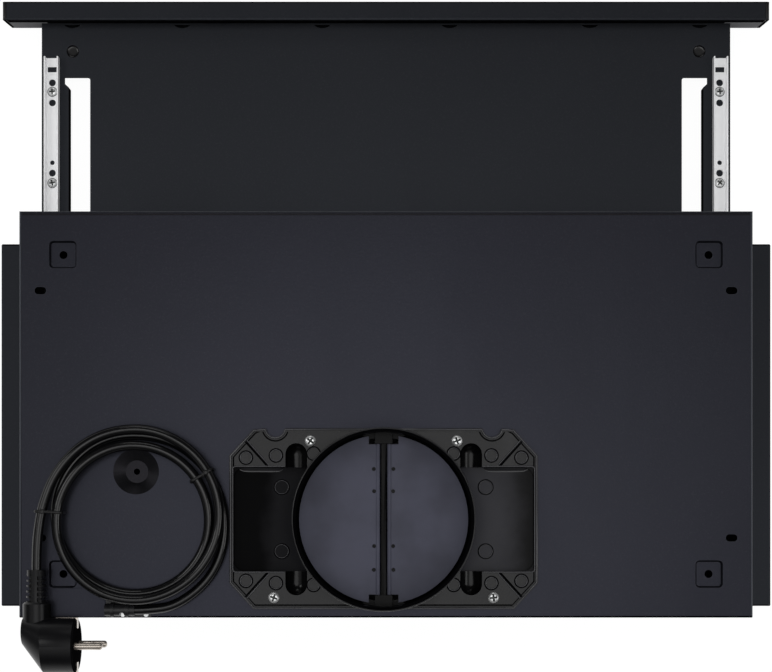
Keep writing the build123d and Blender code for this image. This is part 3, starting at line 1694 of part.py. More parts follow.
def strand_span(outward):
    """How near and how far the cord passes from the coil's middle, in a tie's band."""
    across = Vector(-outward[1], outward[0], 0)
    along = Vector(outward[0], outward[1], 0)
    middle = Vector(coil_x, coil_y, 0)
    edges = coil_path() + [FilletPolyline(*tail_points(), radius=fillet_radii(tail_points()))]
    reaches = []
    for edge in edges:
        count = max(2, int(edge.length))
        for step in range(count + 1):
            offset_here = (edge @ (step / count)) - middle
            if abs(offset_here.dot(across)) < tie_width and offset_here.dot(along) > 0:
                reaches.append(offset_here.dot(along))
    return min(reaches), max(reaches)


def tie_loop(degrees):
    """A tie's closed band round all the turns, at an angle about the coil's middle."""
    angle = math.radians(degrees)
    outward = (math.cos(angle), math.sin(angle))
    near, far = strand_span(outward)
    grow = cord_diameter / 2 + tie_slack
    width = far - near + 2 * grow
    height = coil_rise + 2 * grow
    reach = (near + far) / 2
    z_middle = (z_cord_low + z_cord_high) / 2
    centre = (coil_x + outward[0] * reach, coil_y + outward[1] * reach, z_middle)
    across = (-outward[1], outward[0], 0)
    plane = Plane(origin=centre, x_dir=(outward[0], outward[1], 0), z_dir=across).offset(-tie_width / 2)
    wall = tie_thickness
    outer = RectangleRounded(width + 2 * wall, height + 2 * wall, tie_corner + wall)
    inner = RectangleRounded(width, height, tie_corner)
    return extrude(plane * (outer - inner), amount=tie_width)


def cord_ties():
    """The two ties round the coil."""
    return Compound(children=[tie_loop(degrees) for degrees in tie_angles])


def clamp_screw_points():
    """Middles of the cord clamp's screws."""
    return [(x, y_wall - clamp_screw_inset) for x in clamp_screw_places]


def cord_clamp():
    """The clamp at the cover's rear edge: a thin foot and a round-backed saddle with ribs."""
    x_start, start_out = coil_start
    y_cord = coil_y + start_out
    y_foot = (clamp_foot_front, y_wall - clamp_foot_rear)
    shape = slab((clamp_foot_end, clamp_end), y_foot, (z_cover, z_cover + clamp_foot))
    y_saddle = (y_cord - saddle_half_width, y_cord + saddle_half_width)
    shape += rod((x_start, y_cord, z_cord_low), (1, 0, 0), saddle_half_width, clamp_end - x_start)
    shape += slab((x_start, clamp_end), y_saddle, (z_cover + clamp_foot / 2, z_cord_low))
    for share in (0.25, 0.75):
        x = x_start + (clamp_end - x_start) * share - clamp_rib / 2
        rib = rod((x, y_cord, z_cord_low), (1, 0, 0), saddle_height, clamp_rib)
        z_rib = (z_cover + clamp_foot / 2, z_cover + 4 * saddle_height)
        shape += rib & slab((x, x + clamp_rib), y_foot, z_rib)
    hole = clamp_screw_shank / 2 + screw_clearance / 2
    for x, y in clamp_screw_points():
        shape -= rod((x, y, z_cover - cut_through), (0, 0, 1), hole, clamp_foot + 2 * cut_through)
        seat = (x, y, z_cover + clamp_foot)
        shape -= rod(seat, (0, 0, 1), clamp_screw_head / 2 + slip, saddle_height * 3)
    return shape


def cord_entry_plate():
    """The thin plate at the cover's rear edge, over the place where the cord comes out."""
    y_span = (y_wall - entry_plate_depth, y_wall - clamp_foot_rear)
    plate = slab(entry_plate_x, y_span, (z_cover, z_cover + entry_plate_thickness))
    front = plate.edges().filter_by(Axis.Z).group_by(Axis.Y)[0]
    return fillet(front, entry_plate_corner)


def clamp_screws():
    """The cord clamp's two screws."""
    group = []
    for x, y in clamp_screw_points():
        z_seat = z_cover + clamp_foot
        head = rod((x, y, z_seat), (0, 0, 1), clamp_screw_head / 2, clamp_screw_head_height)
        shank = rod((x, y, z_seat), (0, 0, -1), clamp_screw_shank / 2, clamp_foot + sheet)
        group.append(head + shank)
    return Compound(children=group)


def plug_strain_relief():
    """The tapered boot with five slots along each side."""
    start = (boot_x, boot_y, z_cord_high)
    upright = (Align.CENTER, Align.CENTER, Align.MIN)
    cone = Pos(*start) * Rot(X=-90) * Cone(boot_start_radius, boot_end_radius, boot_length, align=upright)
    pitch = boot_length / (boot_slots + boot_slot_lead - 0.5)
    half = boot_slot_width / 2
    reach = boot_end_radius + cut_through
    for index in range(boot_slots):
        y = boot_y + pitch * (index + boot_slot_lead)
        for side in (-1, 1):
            x_out = boot_x + side * reach
            whole = (z_cord_high - reach, z_cord_high + reach)
            cone -= slab((boot_x + side * boot_slot_side, x_out), (y - half, y + half), whole)
            for level in (-1, 1):
                over = (z_cord_high + level * boot_core, z_cord_high + level * reach)
                cone -= slab((boot_x + side * boot_spine, x_out), (y - half, y + half), over)
    return cone


def plug_body():
    """The angled plug: a round head, a tapering back and a neck towards the cord."""
    head = rod((plug_face_x, plug_y, z_cord_high), (1, 0, 0), plug_radius, plug_head_depth)
    head = chamfer(head.edges().filter_by(GeomType.CIRCLE).sort_by(Axis.X)[0], plug_face_chamfer)
    y_back = plug_y - plug_back_shift
    back_start = Plane(origin=(plug_face_x + plug_head_depth, plug_y, z_cord_high), z_dir=(1, 0, 0))
    back_end = Plane(origin=(plug_face_x + plug_back, y_back, z_cord_high), z_dir=(1, 0, 0))
    back = loft([back_start * Circle(plug_radius), back_end * Circle(plug_back_radius)])
    neck_start = boot_y + boot_length
    neck = rod((boot_x, neck_start, z_cord_high), (0, 1, 0), plug_neck_radius, y_back - neck_start)
    neck = chamfer(neck.edges().filter_by(GeomType.CIRCLE).sort_by(Axis.Y)[0], neck_chamfer)
    shape = head + back + neck
    for side in (-1, 1):
        y_out = plug_y + side * (plug_radius + cut_through)
        y_in = plug_y + side * (plug_radius - earth_depth)
        shape -= slab(
            (plug_face_x - cut_through, plug_face_x + earth_length),
            (y_in, y_out),
            (z_cord_high - earth_width / 2, z_cord_high + earth_width / 2),
        )
    return shape


def plug_pins():
    """The two round pins with domed tips."""
    group = []
    for side in (-1, 1):
        z = z_cord_high + side * pin_spacing / 2
        pin = rod((plug_face_x, plug_y, z), (-1, 0, 0), pin_diameter / 2, pin_length)
        pin = fillet(pin.edges().filter_by(GeomType.CIRCLE).sort_by(Axis.X)[0], pin_diameter * pin_rounding)
        group.append(pin)
    return Compound(children=group)


def plug_earth_clips():
    """The two earth contacts, set in the head's sides and folded over its face."""
    group = []
    half = earth_width / 2 - slip
    for side in (-1, 1):
        y_in = plug_y + side * (plug_radius - earth_depth)
        y_out = plug_y + side * (plug_radius - earth_inset)
        z_span = (z_cord_high - half, z_cord_high + half)
        strip = slab((plug_face_x, plug_face_x + earth_length - slip), (y_in, y_out), z_span)
        y_reach = plug_y + side * (plug_radius - earth_depth - earth_reach)
        fold = slab((plug_face_x - earth_fold, plug_face_x), (y_reach, y_out), z_span)
        group.append(strip + fold)
    return Compound(children=group)


def main():
    """Build every piece and write it."""
    os.makedirs("parts", exist_ok=True)
    for side, name in ((-1, "left"), (1, "right")):
        save(f"wing_{name}", wing(side))
        save(f"slide_outer_{name}", slide_outer(side))
        save(f"slide_inner_{name}", slide_inner(side))
        save(f"ball_cage_{name}", ball_cage(side))
        save(f"damper_flap_{name}", damper(side))
        save(f"scroll_{name}", scroll_half(side))
        save(f"body_filter_{name}", body_filter(side))
        save(f"body_filter_latch_{name}", body_filter_latch(side))
    save("front_rail", front_rail())
    save("rear_rail", rear_rail())
    save("casing_screws", casing_screws())
    save("casing_wrapper", casing_wrapper())
    save("rear_panel", rear_panel())
    save("top_cover", top_cover())
    save("outlet_plate", outlet_plate())
    save("outlet_screws", outlet_screws())
    save("duct_collar", duct_collar())
    save("impeller", impeller())
    save("motor_shaft", motor_shaft())
    save("motor_mount", motor_mount())
    save("motor_housing", motor_housing())
    save("motor_bearings", motor_bearings())
    save("capacitor", capacitor())
    save("capacitor_clip", capacitor_clip())
    save("terminal_box", terminal_box())
    save("visor_tray", visor_tray())
    save("fascia", fascia())
    save("fascia_end_caps", fascia_end_caps())
    save("fascia_screws", fascia_screws())
    save("slide_screws", slide_screws())
    save("slide_brackets", slide_brackets())
    save("visor_filter", visor_filter())
    save("visor_filter_latch", visor_filter_latch())
    save("lamp_panel", lamp_panel())
    save("lamp_bezels", lamp_bezels())
    save("lamp_lenses", lamp_lenses())
    save("switch_housing", switch_housing())
    for number, x in enumerate(button_places(), 1):
        save(f"push_button_{number}", button(x))
    save("cord_entry_plate", cord_entry_plate())
    save("cord_clamp", cord_clamp())
    save("clamp_screws", clamp_screws())
    save("cord_coil", cord_coil())
    save("cord_tail", cord_tail())
    save("cord_ties", cord_ties())
    save("plug_strain_relief", plug_strain_relief())
    save("plug_body", plug_body())
    save("plug_pins", plug_pins())
    save("plug_earth_clips", plug_earth_clips())


main()
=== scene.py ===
import logging
import math
from dataclasses import dataclass
from enum import Enum
from typing import Callable, Optional, Sequence

import bmesh
import bpy
import numpy as np
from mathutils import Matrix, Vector


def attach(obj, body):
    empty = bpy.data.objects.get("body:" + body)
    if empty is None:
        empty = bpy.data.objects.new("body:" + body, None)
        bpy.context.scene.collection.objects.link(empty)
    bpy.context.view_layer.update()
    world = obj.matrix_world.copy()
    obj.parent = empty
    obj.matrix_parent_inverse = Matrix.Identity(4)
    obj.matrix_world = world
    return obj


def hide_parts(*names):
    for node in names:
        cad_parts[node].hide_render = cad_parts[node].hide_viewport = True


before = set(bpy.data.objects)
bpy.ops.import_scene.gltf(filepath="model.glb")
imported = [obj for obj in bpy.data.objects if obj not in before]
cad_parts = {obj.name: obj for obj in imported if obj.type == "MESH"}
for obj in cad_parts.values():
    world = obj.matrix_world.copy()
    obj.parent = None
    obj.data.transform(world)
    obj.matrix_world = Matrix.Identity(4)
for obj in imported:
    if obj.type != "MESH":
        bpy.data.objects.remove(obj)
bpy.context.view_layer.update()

LOG = logging.getLogger("range_hood")
MM = 0.001

Colour = tuple[float, float, float, float]
Point = tuple[float, float, float]
Span = tuple[float, float]
Block = tuple[np.ndarray, np.ndarray]
Socket = bpy.types.NodeSocket
Node = bpy.types.Node
Item = bpy.types.Object
Material = bpy.types.Material
FaceTest = Callable[[Vector, Vector], bool]

FULL: Span = (0.0, 1.0)
WHITE: Colour = (1.0, 1.0, 1.0, 1.0)
UP: Point = (0.0, 0.0, 1.0)


def screen_colour(red: int, green: int, blue: int) -> Colour:
    """Turn a colour as a screen shows it into the linear values that a shader takes.

    Each channel c from 0 to 255 becomes ((c / 255 + 0.055) / 1.055) to the power 2.4, or
    c / 255 / 12.92 where c / 255 is under 0.04045.

    Args:
        red: Red from 0 to 255.
        green: Green from 0 to 255.
        blue: Blue from 0 to 255.

    Returns:
        The linear red, green and blue with an alpha of 1.
    """
    share = np.array([red, green, blue], float) / 255
    linear = np.where(share <= 0.04045, share / 12.92, ((share + 0.055) / 1.055) ** 2.4)
    return (float(linear[0]), float(linear[1]), float(linear[2]), 1.0)


class Nodes:
    """A short way to add and join nodes in one node tree."""

    COLOUR_MIX_INPUTS = (0, 6, 7)
    COLOUR_MIX_OUTPUT = 2

    def __init__(self, tree: bpy.types.NodeTree) -> None:
        """Keep the tree that nodes are added to."""
        self.tree = tree

    def add(self, kind: str, **settings: object) -> Node:
        """Add a node and set its properties.

        Args:
            kind: The node's type name without the ShaderNode part.
            settings: Property names and their values.

        Returns:
            The new node.
        """
        node = self.tree.nodes.new("ShaderNode" + kind)
        for name, value in settings.items():
            setattr(node, name, value)
        return node

    def join(self, source: Socket, target: Socket) -> None:
        """Join an output to an input."""
        self.tree.links.new(source, target)

    def feed(self, target: Socket, value: object) -> None:
        """Give an input a number or colour, or join an output to it.

        Args:
            target: The input.
            value: The number, the colour or the output.
        """
        if isinstance(value, bpy.types.NodeSocket):
            self.join(value, target)
        else:
            target.default_value = value

    def maths(self, operation: str, *values: object) -> Socket:
        """Do one sum on numbers or outputs.

        Args:
            operation: The Math node's operation.
            values: Its inputs, in order.

        Returns:
            The result's output.
        """
        node = self.add("Math", operation=operation)
        for index, value in enumerate(values):
            self.feed(node.inputs[index], value)
        return node.outputs[0]

    def place(self) -> Socket:
        """Give the output with a point's place on its piece."""
        return self.add("TexCoord").outputs["Object"]

    def parts(self, vector: Socket) -> bpy.types.NodeOutputs:
        """Give the X, Y and Z outputs of a vector.

        Args:
            vector: The vector's output.

        Returns:
            The three outputs, by letter.
        """
        node = self.add("SeparateXYZ")
        self.join(vector, node.inputs[0])
        return node.outputs

    def noise(self, place: Socket, scale: object, **levels: float) -> Socket:
        """Add fractal noise and give its value's output.

        Args:
            place: The output with the place to read it at.
            scale: Features per metre.
            levels: Other inputs by name, such as Detail, the number of octaves.

        Returns:
            The noise value's output, about 0 to 1.
        """
        node = self.add("TexNoise")
        self.feed(node.inputs["Vector"], place)
        self.feed(node.inputs["Scale"], scale)
        for name, level in levels.items():
            node.inputs[name].default_value = level
        return node.outputs["Fac"]

    def spread(self, value: Socket, span: Sequence[float], result: Sequence[float] = FULL) -> Socket:
        """Map one range onto another, smoothly and held at its ends.

        Args:
            value: The output to map.
            span: The two values that become the two results.
            result: The results at them.

        Returns:
            The mapped output.
        """
        node = self.add("MapRange", interpolation_type="SMOOTHSTEP")
        for index, item in enumerate((value, *span, *result)):
            self.feed(node.inputs[index], item)
        return node.outputs["Result"]

    def blend(self, share: object, first: object, second: object) -> Socket:
        """Mix two colours.

        Args:
            share: How much of the second shows.
            first: The colour at 0.
            second: The colour at 1.

        Returns:
            The mixed colour's output.
        """
        node = self.add("Mix", data_type="RGBA")
        for index, value in zip(self.COLOUR_MIX_INPUTS, (share, first, second)):
            self.feed(node.inputs[index], value)
        return node.outputs[self.COLOUR_MIX_OUTPUT]

    def mix_shaders(self, share: Socket, first: Node, second: Node) -> Node:
        """Mix two shaders.

        Args:
            share: How much of the second shows.
            first: The shader at 0.
            second: The shader at 1.

        Returns:
            The mixing node.
        """
        node = self.add("MixShader")
        for index, source in enumerate((share, first.outputs[0], second.outputs[0])):
            self.join(source, node.inputs[index])
        return node

    def sharp_rays(self, path: Node) -> Socket:
        """1 for the rays that form an image: from the camera, off gloss and through glass.

        Args:
            path: The Light Path node.

        Returns:
            The output with 1 or 0.
        """
        gloss_or_glass = self.maths(
            "MAXIMUM", path.outputs["Is Glossy Ray"], path.outputs["Is Transmission Ray"]
        )
        return self.maths("MAXIMUM", path.outputs["Is Camera Ray"], gloss_or_glass)

    def bump(self, height: Socket, distance: float, strength: float = 1.0) -> Socket:
        """Turn a height into a normal.

        Args:
            height: The height's output, about 0 to 1.
            distance: The height of 1, in metres.
            strength: How much of it shows.

        Returns:
            The normal's output.
        """
        node = self.add("Bump")
        node.inputs["Strength"].default_value = strength
        node.inputs["Distance"].default_value = distance
        self.join(height, node.inputs["Height"])
        return node.outputs["Normal"]


class Effect(Enum):
    """The surface effects that several finishes share."""

    GRAIN = "hood grain"
    # The edge mask lightens edges: partly wear, partly painted highlight.
    WORN_LIT_EDGE = "hood edge light and wear"
    HANDLING = "hood handling marks"
    DRAWN_LINES = "hood drawn lines"
    DUST = "hood settled dust"


class SurfaceEffects:
    """Builds each shared effect once, as a shader node group."""

    CELL_SHARE = 0.6
    FINE_SHARE = 0.7
    FINE_RATE = 0.45
    BEVEL_SAMPLES = 4
    EDGE_TURN: Span = (0.995, 0.82)
    CHIP_RATE = 260.0
    CHIP_SPAN: Span = (0.35, 0.7)
    CHIP_RESULT: Span = (0.25, 1.0)
    SMEAR_STRETCH: Point = (1.0, 0.35, 1.0)
    SMEAR_SPAN: Span = (0.42, 0.72)
    LINE_SQUEEZE = 0.985
    STREAK_RATE = 0.12
    LEVEL_SPAN: Span = (0.55, 0.95)
    SPECK_SPAN: Span = (0.5, 0.78)

    def __init__(self) -> None:
        """Build all the groups."""
        self.groups = {
            Effect.GRAIN: self.grain(),
            Effect.WORN_LIT_EDGE: self.worn_and_lit_edge(),
            Effect.HANDLING: self.handling(),
            Effect.DRAWN_LINES: self.drawn_lines(),
            Effect.DUST: self.dust(),
        }

    @staticmethod
    def start(
        effect: Effect, numbers: dict[str, float], results: Sequence[str]
    ) -> tuple[Nodes, dict[str, Socket], bpy.types.NodeInputs]:
        """Begin a group with its named inputs and outputs.

        Args:
            effect: Which effect it is.
            numbers: Input names and their usual values.
            results: Output names.

        Returns:
            The node helper, the group's inputs by name, and the sockets of its outputs.
        """
        tree = bpy.data.node_groups.new(effect.value, "ShaderNodeTree")
        for name, value in numbers.items():
            socket = tree.interface.new_socket(name=name, in_out="INPUT", socket_type="NodeSocketFloat")
            socket.default_value = value
        for name in results:
            tree.interface.new_socket(name=name, in_out="OUTPUT", socket_type="NodeSocketFloat")
        entry = tree.nodes.new("NodeGroupInput")
        leave = tree.nodes.new("NodeGroupOutput")
        given = {name: entry.outputs[name] for name in numbers}
        return Nodes(tree), given, leave.inputs

    def grain(self) -> bpy.types.NodeTree:
        """Fine pebbled height with a slow mottle: round cells plus noise, by size, and wide noise.

        Returns:
            The group.
        """
        usual = {"Size": 0.0006, "Mottle": 0.05}
        nodes, given, leave = self.start(Effect.GRAIN, usual, ("Height", "Mottle"))
        place = nodes.place()
        scale = nodes.maths("DIVIDE", 1.0, given["Size"])
        cells = nodes.add("TexVoronoi", feature="SMOOTH_F1")
        nodes.join(place, cells.inputs["Vector"])
        nodes.join(scale, cells.inputs["Scale"])
        fine = nodes.noise(place, nodes.maths("MULTIPLY", scale, self.FINE_RATE))
        pebbles = nodes.maths("MULTIPLY", cells.outputs["Distance"], self.CELL_SHARE)
        height = nodes.maths("ADD", pebbles, nodes.maths("MULTIPLY", fine, self.FINE_SHARE))
        nodes.join(height, leave["Height"])
        slow = nodes.noise(place, nodes.maths("DIVIDE", 1.0, given["Mottle"]), Detail=4.0)
        nodes.join(slow, leave["Mottle"])
        return nodes.tree

    def worn_and_lit_edge(self) -> bpy.types.NodeTree:
        """A mask along outer edges, chipped by noise, that makes them lighter: partly wear, partly a painted
        highlight where a rounded edge would catch the lamps.

        It grows with how far the bevelled normal turns from the plain one.

        Returns:
            The group.
        """
        usual = {"Width": 0.0008, "Amount": 0.6}
        nodes, given, leave = self.start(Effect.WORN_LIT_EDGE, usual, ("Mask",))
        bevel = nodes.add("Bevel", samples=self.BEVEL_SAMPLES)
        nodes.join(given["Width"], bevel.inputs["Radius"])
        likeness = nodes.add("VectorMath", operation="DOT_PRODUCT")
        nodes.join(bevel.outputs["Normal"], likeness.inputs[0])
        nodes.join(nodes.add("NewGeometry").outputs["Normal"], likeness.inputs[1])
        turned = nodes.spread(likeness.outputs["Value"], self.EDGE_TURN)
        chips = nodes.noise(nodes.place(), self.CHIP_RATE, Detail=4.0, Roughness=0.55)
        broken = nodes.spread(chips, self.CHIP_SPAN, self.CHIP_RESULT)
        mask = nodes.maths("MULTIPLY", nodes.maths("MULTIPLY", turned, broken), given["Amount"])
        nodes.join(mask, leave["Mask"])
        return nodes.tree

    def handling(self) -> bpy.types.NodeTree:
        """Faint smears and rubbed spots: the high parts of a stretched noise.

        Returns:
            The group.
        """
        usual = {"Size": 0.09, "Amount": 0.5}
        nodes, given, leave = self.start(Effect.HANDLING, usual, ("Mask",))
        stretch = nodes.add("VectorMath", operation="MULTIPLY")
        nodes.join(nodes.place(), stretch.inputs[0])
        stretch.inputs[1].default_value = self.SMEAR_STRETCH
        rate = nodes.maths("DIVIDE", 1.0, given["Size"])
        wide = nodes.noise(stretch.outputs[0], rate, Detail=6.0, Distortion=0.6)
        marks = nodes.spread(wide, self.SMEAR_SPAN)
        nodes.join(nodes.maths("MULTIPLY", marks, given["Amount"]), leave["Mask"])
        return nodes.tree

    def drawn_lines(self) -> bpy.types.NodeTree:
        """Rolling or brushing lines: noise squeezed hard along X, or along Y where Along Y is 1.

        Returns:
            The group.
        """
        usual = {"Spacing": 0.0004, "Along Y": 0.0}
        nodes, given, leave = self.start(Effect.DRAWN_LINES, usual, ("Height", "Streak"))
        parts = nodes.parts(nodes.place())
        along_x = nodes.maths("SUBTRACT", 1.0, given["Along Y"])
        x_rate = nodes.maths("SUBTRACT", 1.0, nodes.maths("MULTIPLY", along_x, self.LINE_SQUEEZE))
        y_rate = nodes.maths("SUBTRACT", 1.0, nodes.maths("MULTIPLY", given["Along Y"], self.LINE_SQUEEZE))
        squeezed = nodes.add("CombineXYZ")
        nodes.join(nodes.maths("MULTIPLY", parts["X"], x_rate), squeezed.inputs[0])
        nodes.join(nodes.maths("MULTIPLY", parts["Y"], y_rate), squeezed.inputs[1])
        nodes.join(parts["Z"], squeezed.inputs[2])
        for name, rate in (("Height", 1.0), ("Streak", self.STREAK_RATE)):
            lines = nodes.noise(squeezed.outputs[0], nodes.maths("DIVIDE", rate, given["Spacing"]))
            nodes.join(lines, leave[name])
        return nodes.tree

    def dust(self) -> bpy.types.NodeTree:
        """Dust on surfaces that face up: the normal's Z, thinned by fine specks.

        Returns:
            The group.
        """
        usual = {"Amount": 0.1, "Speck": 0.0009}
        nodes, given, leave = self.start(Effect.DUST, usual, ("Mask",))
        normal = nodes.parts(nodes.add("NewGeometry").outputs["Normal"])
        level = nodes.spread(normal["Z"], self.LEVEL_SPAN)
        specks = nodes.noise(nodes.place(), nodes.maths("DIVIDE", 1.0, given["Speck"]), Detail=5.0)
        settled = nodes.maths("MULTIPLY", level, nodes.spread(specks, self.SPECK_SPAN))
        nodes.join(nodes.maths("MULTIPLY", settled, given["Amount"]), leave["Mask"])
        return nodes.tree

    def place(self, nodes: Nodes, effect: Effect, **values: object) -> Node:
        """Put an effect into a material.

        Args:
            nodes: The material's node helper.
            effect: Which effect.
            values: Its inputs, with an underscore for each space in a name.

        Returns:
            The group node.
        """
        node = nodes.tree.nodes.new("ShaderNodeGroup")
        node.node_tree = self.groups[effect]
        for name, value in values.items():
            nodes.feed(node.inputs[name.replace("_", " ")], value)
        return node


@dataclass(frozen=True)
class Finish:
    """What every finish has: its name, its colour and how rough it is."""

    name: str
    colour: Colour
    roughness: float

    def begin(self, **levels: float) -> tuple[Material, Nodes, Node]:
        """Make an empty material with its Principled shader.

        Args:
            levels: The shader's own values, with an underscore for each space in a name.

        Returns:
            The material, its node helper and the shader.
        """
        material = bpy.data.materials.new(self.name)
        material.use_nodes = True
        material.node_tree.nodes.clear()
        nodes = Nodes(material.node_tree)
        shader = nodes.add("BsdfPrincipled")
        output = nodes.add("OutputMaterial")
        nodes.join(shader.outputs["BSDF"], output.inputs["Surface"])
        shader.inputs["Roughness"].default_value = self.roughness
        shader.inputs["Base Color"].default_value = self.colour
        for name, level in levels.items():
            shader.inputs[name.replace("_", " ")].default_value = level
        return material, nodes, shader

    def gloss(self, nodes: Nodes, shader: Node, marks: Socket, change: float) -> None:
        """Make the shader rougher, or smoother where the change is negative, under a mask."""
        rough = nodes.maths("ADD", self.roughness, nodes.maths("MULTIPLY", marks, change))
        nodes.join(rough, shader.inputs["Roughness"])

    def build(self, effects: SurfaceEffects) -> Material:
        """Make the material. Each finish does it in its own way."""
        raise NotImplementedError


@dataclass(frozen=True)
class SheetPaint(Finish):
    """Satin paint on sheet steel, with fine orange peel, smears, and lighter edges that are partly wear and
    partly painted highlight.
    """

    worn_and_lit: Colour = (0.06, 0.06, 0.065, 1.0)
    tint: Colour = (0.03, 0.03, 0.04, 1.0)
    peel: float = 0.0011
    specular: float = 0.36
    sheen: Colour = (0.9, 0.86, 1.0, 1.0)
    edge: float = 0.35
    peel_depth: float = 0.000035
    tint_span: Span = (0.35, 0.68)
    smear_roughness: float = 0.09
    dust_colour: Colour = (0.35, 0.34, 0.33, 1.0)

    def build(self, effects: SurfaceEffects) -> Material:
        """Mix the paint with a slow tint, lay smears and dust over it, and bump it with its peel.

        Args:
            effects: The shared groups.

        Returns:
            The material.
        """
        material, nodes, shader = self.begin(Specular_IOR_Level=self.specular, Specular_Tint=self.sheen)
        grain = effects.place(nodes, Effect.GRAIN, Size=self.peel, Mottle=0.21)
        smears = effects.place(nodes, Effect.HANDLING, Size=0.11, Amount=0.55)
        dust = effects.place(nodes, Effect.DUST, Amount=0.018, Speck=0.0012)
        edge = effects.place(nodes, Effect.WORN_LIT_EDGE, Width=0.0007, Amount=self.edge)
        slow = nodes.spread(grain.outputs["Mottle"], self.tint_span)
        base = nodes.blend(slow, self.colour, self.tint)
        dusty = nodes.blend(dust.outputs["Mask"], base, self.dust_colour)
        # Edges turn lighter: partly wear, partly a painted highlight along them.
        nodes.join(nodes.blend(edge.outputs["Mask"], dusty, self.worn_and_lit), shader.inputs["Base Color"])
        self.gloss(nodes, shader, smears.outputs["Mask"], self.smear_roughness)
        nodes.join(nodes.bump(grain.outputs["Height"], self.peel_depth), shader.inputs["Normal"])
        return material


@dataclass(frozen=True)
class MouldedPlastic(Finish):
    """Injection-moulded plastic: fine spark grain, flow mottle, and lighter edges that are partly wear and
    partly painted highlight.
    """

    grain: float = 0.0005
    depth: float = 0.00003
    specular: float = 0.4
    worn_and_lit: Colour = (0.05, 0.05, 0.053, 1.0)
    coat: float = 0.0
    coat_roughness: float = 0.12
    mottle_span: Span = (0.3, 0.7)
    mottle_share: float = 0.72
    rubbed_gloss: float = 0.12

    def build(self, effects: SurfaceEffects) -> Material:
        """Lay mottle and lighter edges, partly wear and partly painted highlight, over the plastic, and bump
        it with its grain.

        Args:
            effects: The shared groups.

        Returns:
            The material.
        """
        material, nodes, shader = self.begin(
            Specular_IOR_Level=self.specular, Coat_Weight=self.coat, Coat_Roughness=self.coat_roughness
        )
        grain = effects.place(nodes, Effect.GRAIN, Size=self.grain, Mottle=0.03)
        marks = effects.place(nodes, Effect.HANDLING, Size=0.035, Amount=0.6)
        edge = effects.place(nodes, Effect.WORN_LIT_EDGE, Width=0.0006, Amount=0.5)
        darker = tuple(channel * self.mottle_share for channel in self.colour[:3]) + (1.0,)
        slow = nodes.spread(grain.outputs["Mottle"], self.mottle_span)
        base = nodes.blend(slow, darker, self.colour)
        # Edges turn lighter: partly wear, partly a painted highlight along them.
        nodes.join(nodes.blend(edge.outputs["Mask"], base, self.worn_and_lit), shader.inputs["Base Color"])
        self.gloss(nodes, shader, marks.outputs["Mask"], -self.rubbed_gloss)
        nodes.join(nodes.bump(grain.outputs["Height"], self.depth), shader.inputs["Normal"])
        return material


@dataclass(frozen=True)
class ReflectionPaintedPlastic(Finish):
    """Glossy plastic with a painted reflection: a lighter colour near its middle that fades along X, standing
    in for the light that the pocket reflects.
    """

    far: Colour = (0.01, 0.01, 0.01, 1.0)
    middle: float = 0.0016
    painted_light_span: Span = (0.06, 0.1)
    specular: float = 0.1
    unevenness: float = 0.03
    grain_depth: float = 0.00001

    def build(self, effects: SurfaceEffects) -> Material:
        """Fade from the painted reflection to the plain colour with the distance along X, unevenly.

        Args:
            effects: The shared groups.

        Returns:
            The material.
        """
        material, nodes, shader = self.begin(Specular_IOR_Level=self.specular)
        grain = effects.place(nodes, Effect.GRAIN, Size=0.0009, Mottle=0.03)
        x = nodes.parts(nodes.place())["X"]
        away = nodes.maths("ABSOLUTE", nodes.maths("SUBTRACT", x, self.middle))
        drift = nodes.maths("SUBTRACT", grain.outputs["Mottle"], 0.5)
        uneven = nodes.maths("ADD", away, nodes.maths("MULTIPLY", drift, self.unevenness))
        share = nodes.spread(uneven, self.painted_light_span)
        nodes.join(nodes.blend(share, self.colour, self.far), shader.inputs["Base Color"])
        nodes.join(nodes.bump(grain.outputs["Height"], self.grain_depth), shader.inputs["Normal"])
        return material


@dataclass(frozen=True)
class ShadedBackLitEnds(Finish):
    """Painted shade and light: dark where the fascia's back lies in shade, and pale past a half width and
    under a height, where light reaches it.
    """

    pale: Colour = (0.08, 0.08, 0.08, 1.0)
    half_width: float = 0.266
    height: float = 0.0235
    fade: float = 0.001

    def build(self, effects: SurfaceEffects) -> Material:
        """Mix the pale, painted light in where both limits are passed.

        Args:
            effects: The shared groups.

        Returns:
            The material.
        """
        material, nodes, shader = self.begin(Specular_IOR_Level=0.0)
        parts = nodes.parts(nodes.place())
        across = nodes.maths("ABSOLUTE", parts["X"])
        beyond = nodes.spread(across, (self.half_width, self.half_width + self.fade))
        under = nodes.spread(parts["Z"], (self.height - self.fade, self.height), (1.0, 0.0))
        share = nodes.maths("MULTIPLY", beyond, under)
        nodes.join(nodes.blend(share, self.colour, self.pale), shader.inputs["Base Color"])
        return material


